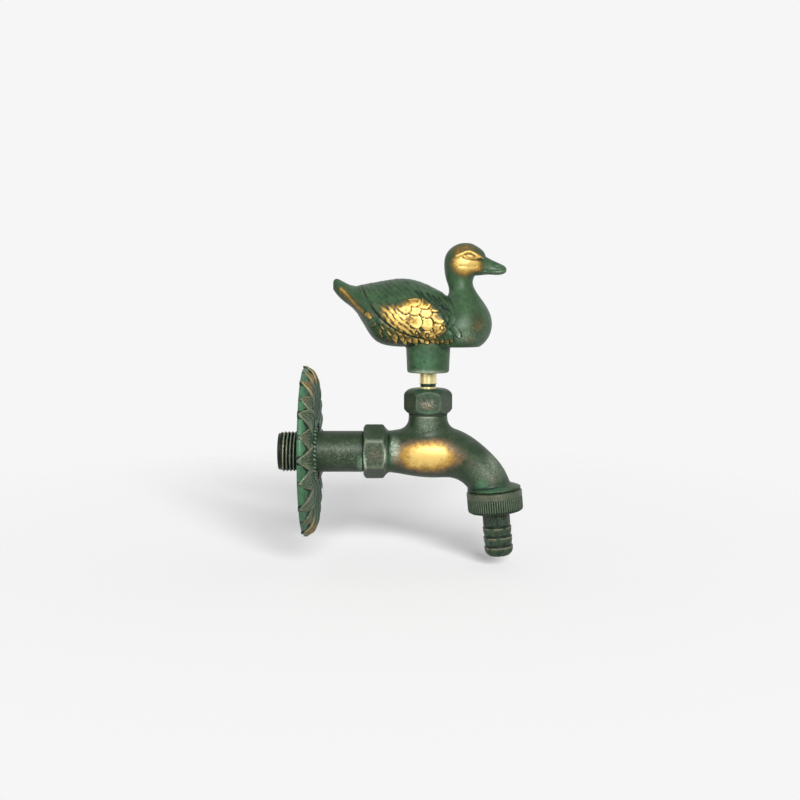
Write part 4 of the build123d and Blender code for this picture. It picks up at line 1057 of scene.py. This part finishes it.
def leaf(name, tip_r, lift, turn):
    """One leaf as a closed sheet with its wear."""
    axis_r = LEAF_BASE_R + (tip_r - LEAF_BASE_R) * np.linspace(0, 1, LEAF_ROWS) ** 0.8
    widest = LEAF_WIDEST_R * math.tan(LEAF_HALF_ANGLE)
    to_tip = (tip_r - axis_r) / (tip_r - LEAF_WIDEST_R)
    taper = widest * np.sqrt(np.clip(1 - (1 - to_tip) ** 2, 0, 1)) ** 1.3
    half = np.where(axis_r < LEAF_WIDEST_R, axis_r * math.tan(LEAF_HALF_ANGLE), taper)
    # the face: v runs across the leaf from -1 to 1, r along it
    v, r = np.meshgrid(np.linspace(-1, 1, LEAF_COLUMNS), axis_r)
    q = v * half[:, None]
    under = dish_face(np.hypot(r, q))
    fold = np.abs(v)
    lip = np.exp(-(((fold - 0.8) / 0.13) ** 2)) * ease(tip_r - 13.0, tip_r - 7.0, r)
    tip = ease(tip_r - 11.0, tip_r - 4.0, r)
    ribs = np.abs(np.cos(math.pi * LEAF_RIBS * v / 2)) ** 0.7 * ease(0.0, 0.3, 1 - fold)
    crest = np.exp(-(((fold - 0.62) / 0.3) ** 2))
    rise = lift * (0.3 + 0.7 * ease(LEAF_BASE_R, 25.0, r)) * (0.35 + 0.75 * crest) - 0.6 * ease(0.82, 1.0, fold)
    rise += 0.55 * lip * (1 - ease(tip_r - 2.0, tip_r, r))
    rise += 0.4 * (ribs - 0.5) * (1 - 0.6 * tip) - 0.8 * lift * ease(tip_r - 3.5, tip_r, r)
    top = np.clip(under + rise, 0.3, None)
    back = np.clip(under - LEAF_THICK, 0.02, None)
    spin = np.array([math.cos(turn), math.sin(turn)])
    y, z = r * spin[0] - q * spin[1], r * spin[1] + q * spin[0]
    made = closed_sheet(name, np.stack([top, y, z], -1), np.stack([back, y, z], -1))
    # the wear, worked out again on the mesh's own points
    x, y, z = points_of(made).T
    r, q = y * spin[0] + z * spin[1], z * spin[0] - y * spin[1]
    v = np.abs(q) / np.maximum(np.interp(r, axis_r, half), 0.3)
    outer = ease(tip_r - 12.0, tip_r - 5.0, r)
    on_face = x > dish_face(np.hypot(y, z)) - 1.0
    valley = np.where(on_face, 1 - np.abs(np.cos(math.pi * LEAF_RIBS * v / 2)), 1.0)
    lip = np.exp(-(((v - 0.78) / 0.12) ** 2))
    # the ribs' tops are scratched pale, partly as painted highlights, and the valleys between them are darker
    store(
        made,
        edge=np.clip(0.25 - 1.25 * valley * (1 - 0.6 * outer) - 1.2 * ease(0.84, 0.97, v), -1, 0.4),
        rubbed=np.where(on_face, outer * (0.34 * (1 - ease(0.45, 0.7, v)) + 0.52 * lip), 0.0),
        scuff=np.where(on_face, 0.34 * (1 - valley) + 0.3 * lip * outer, 0.0),
        bloom=0.45,
    )
    return made


front_leaf = leaf("front_leaf", ROSETTE_R, 1.4, 0.0)
back_leaf = leaf("back_leaf", ROSETTE_R - 0.6, 0.75, math.pi / LEAF_COUNT)
for name, template in (("rosette_front_leaves", front_leaf), ("rosette_back_leaves", back_leaf)):
    leaves = ring_of(template, LEAF_COUNT, PIPE_AXIS, wobble=LEAF_WOBBLE)
    layer = leaves.attributes["rubbed"].data
    rub = np.empty(len(layer), dtype=np.float32)
    layer.foreach_get("value", rub)
    from_middle = np.abs(points_of(leaves)[:, 2])
    layer.foreach_set("value", rub * (0.9 + 0.8 * ease(24.0, 41.0, from_middle)).astype(np.float32))
    add_piece(name, leaves, "tap")

# %% [markdown]
# The rope border is a ring of short slanted beads. Each bead is a ball drawn out along a line that leans across the
# ring, so that the row reads as twisted cord.

# %% Rope border
ROPE_COUNT, ROPE_R, ROPE_PLACE, ROPE_LEAN = 44, 15.1, 6.4, math.radians(38)
BEAD_R, BEAD_LONG, BEAD_THIN = 1.0, 1.45, 0.82
bead = bpy.data.meshes.new("bead")
with edited(bead) as work:
    bmesh.ops.create_uvsphere(work, u_segments=14, v_segments=9, radius=1.0)
ball = points_of(bead) * MM
out, long, thin = BEAD_R * ball[:, 0], BEAD_R * BEAD_LONG * ball[:, 2], BEAD_R * BEAD_THIN * ball[:, 1]
bead_x = ROPE_PLACE + long * math.cos(ROPE_LEAN) - thin * math.sin(ROPE_LEAN)
bead_z = long * math.sin(ROPE_LEAN) + thin * math.cos(ROPE_LEAN)
set_points(bead, np.stack([bead_x, ROPE_R + out, bead_z], -1))
top = ball[:, 0]
store(bead, edge=0.8 * top - 0.4, bloom=np.clip(0.2 + 0.5 * top, 0, 1), scuff=np.clip(top, 0, 1) * 0.6)
add_piece("rosette_rope", ring_of(bead, ROPE_COUNT, PIPE_AXIS), "tap")

# %% [markdown]
# The nipple has a parallel pipe thread of 14 threads to the inch on its wall end. The thread is a second Geometry
# Nodes tree: a spiral, with a four-cornered outline swept along it. One corner of the outline makes the crest, and its
# neighbours meet in the root. The outline shrinks at both ends, where a cut thread runs out.

# %% Nipple: the thread
THREAD_PITCH, THREAD_CREST_R, THREAD_DEPTH = 25.4 / 14, 10.46, 0.95
THREAD_CORE_R = THREAD_CREST_R - THREAD_DEPTH
THREAD_FROM, THREAD_TO = -12.3, -1.2
SPIRAL_INPUTS = {"Turns": "Float", "Length": "Float", "Radius": "Float", "Depth": "Float"}
SPIRAL_INPUTS |= {"Start": "Vector", "Finish": "Material"}
thread_tree, add, given = new_tree("pipe_thread", SPIRAL_INPUTS)
winding = {"Rotations": given["Turns"], "Start Radius": given["Radius"], "End Radius": given["Radius"]}
winding |= {"Resolution": 72, "Height": given["Length"]}
spiral = add("GeometryNodeCurveSpiral", winding)
upright = add("GeometryNodeSetCurveNormal", {"Curve": spiral}, mode="Z_UP")
along = add("GeometryNodeSplineParameter").outputs["Factor"]
run_in = add(RANGE, {"Value": along, "From Max": 0.12})
run_out = add(RANGE, {"Value": along, "From Min": 1.0, "From Max": 0.9})
size = add(MATH, {0: run_in, 1: run_out}, operation="MULTIPLY")
outline = add("GeometryNodeCurvePrimitiveCircle", {"Resolution": 4, "Radius": given["Depth"]})
sweep = {"Curve": upright, "Profile Curve": outline, "Scale": size, "Fill Caps": True}
swept = add("GeometryNodeCurveToMesh", sweep)
lay = {"Geometry": swept, "Translation": given["Start"], "Rotation": (0.0, math.pi / 2, 0.0)}
finish_tree(add, add("GeometryNodeTransform", lay), given["Finish"])
thread = grown(
    thread_tree,
    Turns=(THREAD_TO - THREAD_FROM) / THREAD_PITCH,
    Length=(THREAD_TO - THREAD_FROM) * MM,
    Radius=THREAD_CORE_R * MM,
    Depth=THREAD_DEPTH * MM,
    Start=(THREAD_FROM * MM, 0.0, 0.0),
    Finish=patina,
)
x, y, z = points_of(thread).T
crest = (np.hypot(y, z) - THREAD_CORE_R) / THREAD_DEPTH
# the crests are rubbed and scratched pale, partly as painted highlights, most at the inlet end, and the roots are
# darker
crest_rub_and_highlight = 0.3 * ease(0.3, 1.0, crest) + 0.5 * ease(0.1, 0.8, crest) * (1 - ease(-12.3, -8.0, x))
crest_scuff_and_highlight = 0.8 * ease(0.4, 1.0, crest)
add_piece("nipple_thread", thread, "tap", edge=1.6 * crest - 1.1, rubbed=crest_rub_and_highlight, scuff=crest_scuff_and_highlight)

# %% [markdown]
# The rest of the nipple is a plain length of half-inch pipe, turned, with a bright end face at the wall, scuffs along
# its middle, and a pale, green-edged line where it enters the hexagon.

# %% Nipple: the pipe
NIPPLE_R, NIPPLE_BORE_R, SOCKET_R = 10.65, 7.5, 10.35
NIPPLE_SPOTS = {
    "rubbed": [((18.0, -10.0, -1.0), (13.0, 6.0, 7.0), 0.3), ((-13.0, -7.0, 0.0), (1.6, 9.0, 14.0), 0.6)],
    "scuff": [((19.0, -10.0, 0.5), (14.0, 6.0, 8.0), 0.62), ((29.5, -8.0, -5.0), (2.0, 8.0, 6.0), 1.3)],
    "bloom": [((29.5, -8.0, -5.0), (2.5, 8.0, 7.0), 1.0)],
}
nipple_outline = [(NIPPLE_BORE_R, -13.0), (THREAD_CORE_R, -13.0), (THREAD_CORE_R, 2.4), (NIPPLE_R, 2.4)]
nipple_outline += [(NIPPLE_R, place) for place in np.linspace(5.0, 28.0, 12)]
nipple_outline += [(NIPPLE_R, 30.45), (SOCKET_R, 30.46), (SOCKET_R, 39.4), (NIPPLE_BORE_R, 39.4)]
nipple = turned_mesh("nipple", softened(nipple_outline, 0.4), (0, 0, 0), PIPE_AXIS)
nipple_points = points_of(nipple)
x, y, z = nipple_points.T
under_thread = (x > -12.9) & (x < 0.0) & (np.hypot(y, z) > 9.0)
at_socket = ease(28.6, 30.2, x) * ease(-6.0, 2.0, z)
nipple_edge = np.clip(edge_values(nipple, 0.12, 2) - 0.1 - 0.7 * at_socket, -1, 0.5)
nipple_edge = np.where(under_thread, -0.9, nipple_edge)
add_piece("nipple_pipe", nipple, "tap", "inlet_nipple", edge=nipple_edge, **spot_wear(nipple_points, NIPPLE_SPOTS))

# %% [markdown]
# The union nut is turned, with a plain band above and straight knurling below that fingers can grip. Its axis leans
# with the spout, by five degrees.

# %% Union nut
UNION_ORIGIN, UNION_TILT = np.array((98.7, 0.0, -19.9)), math.radians(5)
UNION_AXIS = np.array((math.sin(UNION_TILT), 0.0, -math.cos(UNION_TILT)))
NUT_R, NUT_TOP, NUT_BOTTOM, NUT_BORE_R = 14.4, 0.4, 11.6, 10.65
NUT_ROUND, NUT_ROUND_START = 2.0, 9.6
NUT_LEDGE_R, NUT_LEDGE = 7.55, 9.85
KNURL_COUNT, KNURL_ROOT_R, KNURL_TOP, KNURL_BOTTOM = 72, 14.02, 4.2, 10.9
nut_outline = [(NUT_BORE_R, NUT_TOP), (NUT_R - 0.5, NUT_TOP), (NUT_R, NUT_TOP + 0.5)]
nut_outline += [(NUT_R, KNURL_TOP - 0.2), (KNURL_ROOT_R, KNURL_TOP)]
round_from = math.acos((KNURL_ROOT_R - NUT_R + NUT_ROUND) / NUT_ROUND)
for bend in np.linspace(round_from, math.pi / 2, 7):
    radius = NUT_R - NUT_ROUND + NUT_ROUND * math.cos(bend)
    nut_outline.append((radius, NUT_ROUND_START + NUT_ROUND * math.sin(bend)))
nut_outline += [(NUT_LEDGE_R, NUT_BOTTOM), (NUT_LEDGE_R, NUT_LEDGE), (NUT_BORE_R, NUT_LEDGE)]
nut = turned_mesh("nut", softened(nut_outline, 0.25, 3), UNION_ORIGIN, UNION_AXIS)
from_top = (points_of(nut) - UNION_ORIGIN) @ UNION_AXIS
nut_edge = np.clip(edge_values(nut, 0.2, 2) - 0.15, -1, 0.6)
nut_rub = 0.16 + 0.07 * (1 - ease(2.4, 4.0, from_top))
add_piece("nut_turned", nut, "nut", "union_nut", edge=nut_edge, rubbed=nut_rub, scuff=0.14)

# %% [markdown]
# The knurl is one small ridge, copied round the nut's axis by the same tree as the leaves. The ridge is a closed sheet
# that follows the nut's rounded lower edge, and its foot is sunk into the nut.

# %% Knurl
RIDGE_SECTION = [(-0.52, -0.25), (-0.5, 0.05), (-0.2, 0.85), (0.0, 1.0), (0.2, 0.85), (0.5, 0.05), (0.52, -0.25)]
RIDGE_SINK = 0.4
places = np.linspace(KNURL_TOP - 0.1, KNURL_BOTTOM, 9)
rounded = np.sqrt(NUT_ROUND**2 - np.clip(places - NUT_ROUND_START, 0, None) ** 2)
crests = np.minimum(NUT_R - 0.02, NUT_R - NUT_ROUND + rounded)
pitch = math.tau * NUT_R / KNURL_COUNT
across = np.array([0.0, 1.0, 0.0])
spoke = np.cross(across, UNION_AXIS)


def ridge_row(place, crest):
    """One cross-section of the ridge, at a place along the axis."""
    rise = max(crest - KNURL_ROOT_R, 0.03)
    return [UNION_AXIS * place + across * (q * pitch) + spoke * (KNURL_ROOT_R + h * rise) for q, h in RIDGE_SECTION]


ridge = np.array([ridge_row(place, crest) for place, crest in zip(places, crests)])
ridge_foot = ridge - spoke * ((ridge @ spoke) - KNURL_ROOT_R + RIDGE_SINK)[..., None]
rib = closed_sheet("rib", ridge, ridge_foot)
out_r = points_of(rib) @ spoke
on_crest = ease(KNURL_ROOT_R + 0.1, NUT_R, out_r)
rib_edge = 2.0 * (out_r - KNURL_ROOT_R) / (NUT_R - KNURL_ROOT_R) - 1.3
store(rib, edge=rib_edge, rubbed=0.12 * on_crest, scuff=0.22 * on_crest)
add_piece("nut_knurl", ring_of(rib, KNURL_COUNT, UNION_AXIS, UNION_ORIGIN), "nut")

# %% [markdown]
# The hose tail is turned on the same axis: a flange that the nut holds, a neck, and three barbs that let a hose
# slide on but not off. Dark wax sits under each barb and in stains round the tail, and the barbs' sharp edges are
# rubbed pale.

# %% Hose tail
FLANGE_R, FLANGE_TOP, FLANGE_BOTTOM = 9.4, 8.0, 9.75
TAIL_NECK_R, TAIL_NECK_END, TAIL_BORE_R, TAIL_END, TAIL_END_ROUND = 7.1, 18.2, 5.2, 34.6, 1.4
BARB_R, BARB_FOOT_R, BARB_PLACES = 7.5, 6.85, (19.3, 24.4, 29.5)
TAIL_MIDDLE_X, STAIN_PITCH = 101.0, 3.4
TAIL_SPOTS = {"bloom": [((96.0, -5.0, -44.0), (4.0, 6.0, 12.0), 0.45)]}
tail_outline = [(TAIL_BORE_R, FLANGE_TOP), (FLANGE_R, FLANGE_TOP), (FLANGE_R, FLANGE_BOTTOM)]
tail_outline += [(TAIL_NECK_R, FLANGE_BOTTOM), (TAIL_NECK_R, 14.0), (TAIL_NECK_R, TAIL_NECK_END)]
tail_outline += [(BARB_FOOT_R, BARB_PLACES[0] - 0.25)]
for place in BARB_PLACES:
    tail_outline += [(BARB_R - 0.1, place), (BARB_R, place + 0.5), (BARB_R - 0.15, place + 2.4)]
    tail_outline += [(BARB_FOOT_R + 0.15, place + 4.2), (BARB_FOOT_R, place + 4.85)]
tail_outline[-2:] = [(BARB_FOOT_R, TAIL_END - TAIL_END_ROUND), (BARB_FOOT_R - TAIL_END_ROUND, TAIL_END)]
tail_outline += [(TAIL_BORE_R, TAIL_END)]
tail = turned_mesh("tail", softened(tail_outline, 0.3, 3), UNION_ORIGIN, UNION_AXIS, 96)
tail_points = points_of(tail)
from_top = (tail_points - UNION_ORIGIN) @ UNION_AXIS
under_barb = sum(np.exp(-(((from_top - place + 0.35) / 0.5) ** 2)) for place in BARB_PLACES)
barb_edge = sum(np.exp(-(((from_top - place - 0.6) / 0.4) ** 2)) for place in BARB_PLACES)
on_neck = 1 - ease(17.0, 19.0, from_top)
round_tail = BARB_R * np.arctan2(tail_points[:, 1], tail_points[:, 0] - TAIL_MIDDLE_X)
stained = np.clip(uneven(round_tail, from_top, STAIN_PITCH), 0, 1)
tail_edge = 0.35 * barb_edge - 1.0 * under_barb - 0.5 * stained - 0.22 * (1 - barb_edge) - 0.2 * on_neck
tail_edge = np.clip(tail_edge, -1, 0.5)
tail_scuff = 0.18 + 0.2 * barb_edge + 0.5 * on_neck
tail_wear = spot_wear(tail_points, TAIL_SPOTS) | {"rubbed": 0.12 + 0.32 * barb_edge, "scuff": tail_scuff}
add_piece("tail_turned", tail, "tail", "hose_tail", edge=tail_edge, **tail_wear)
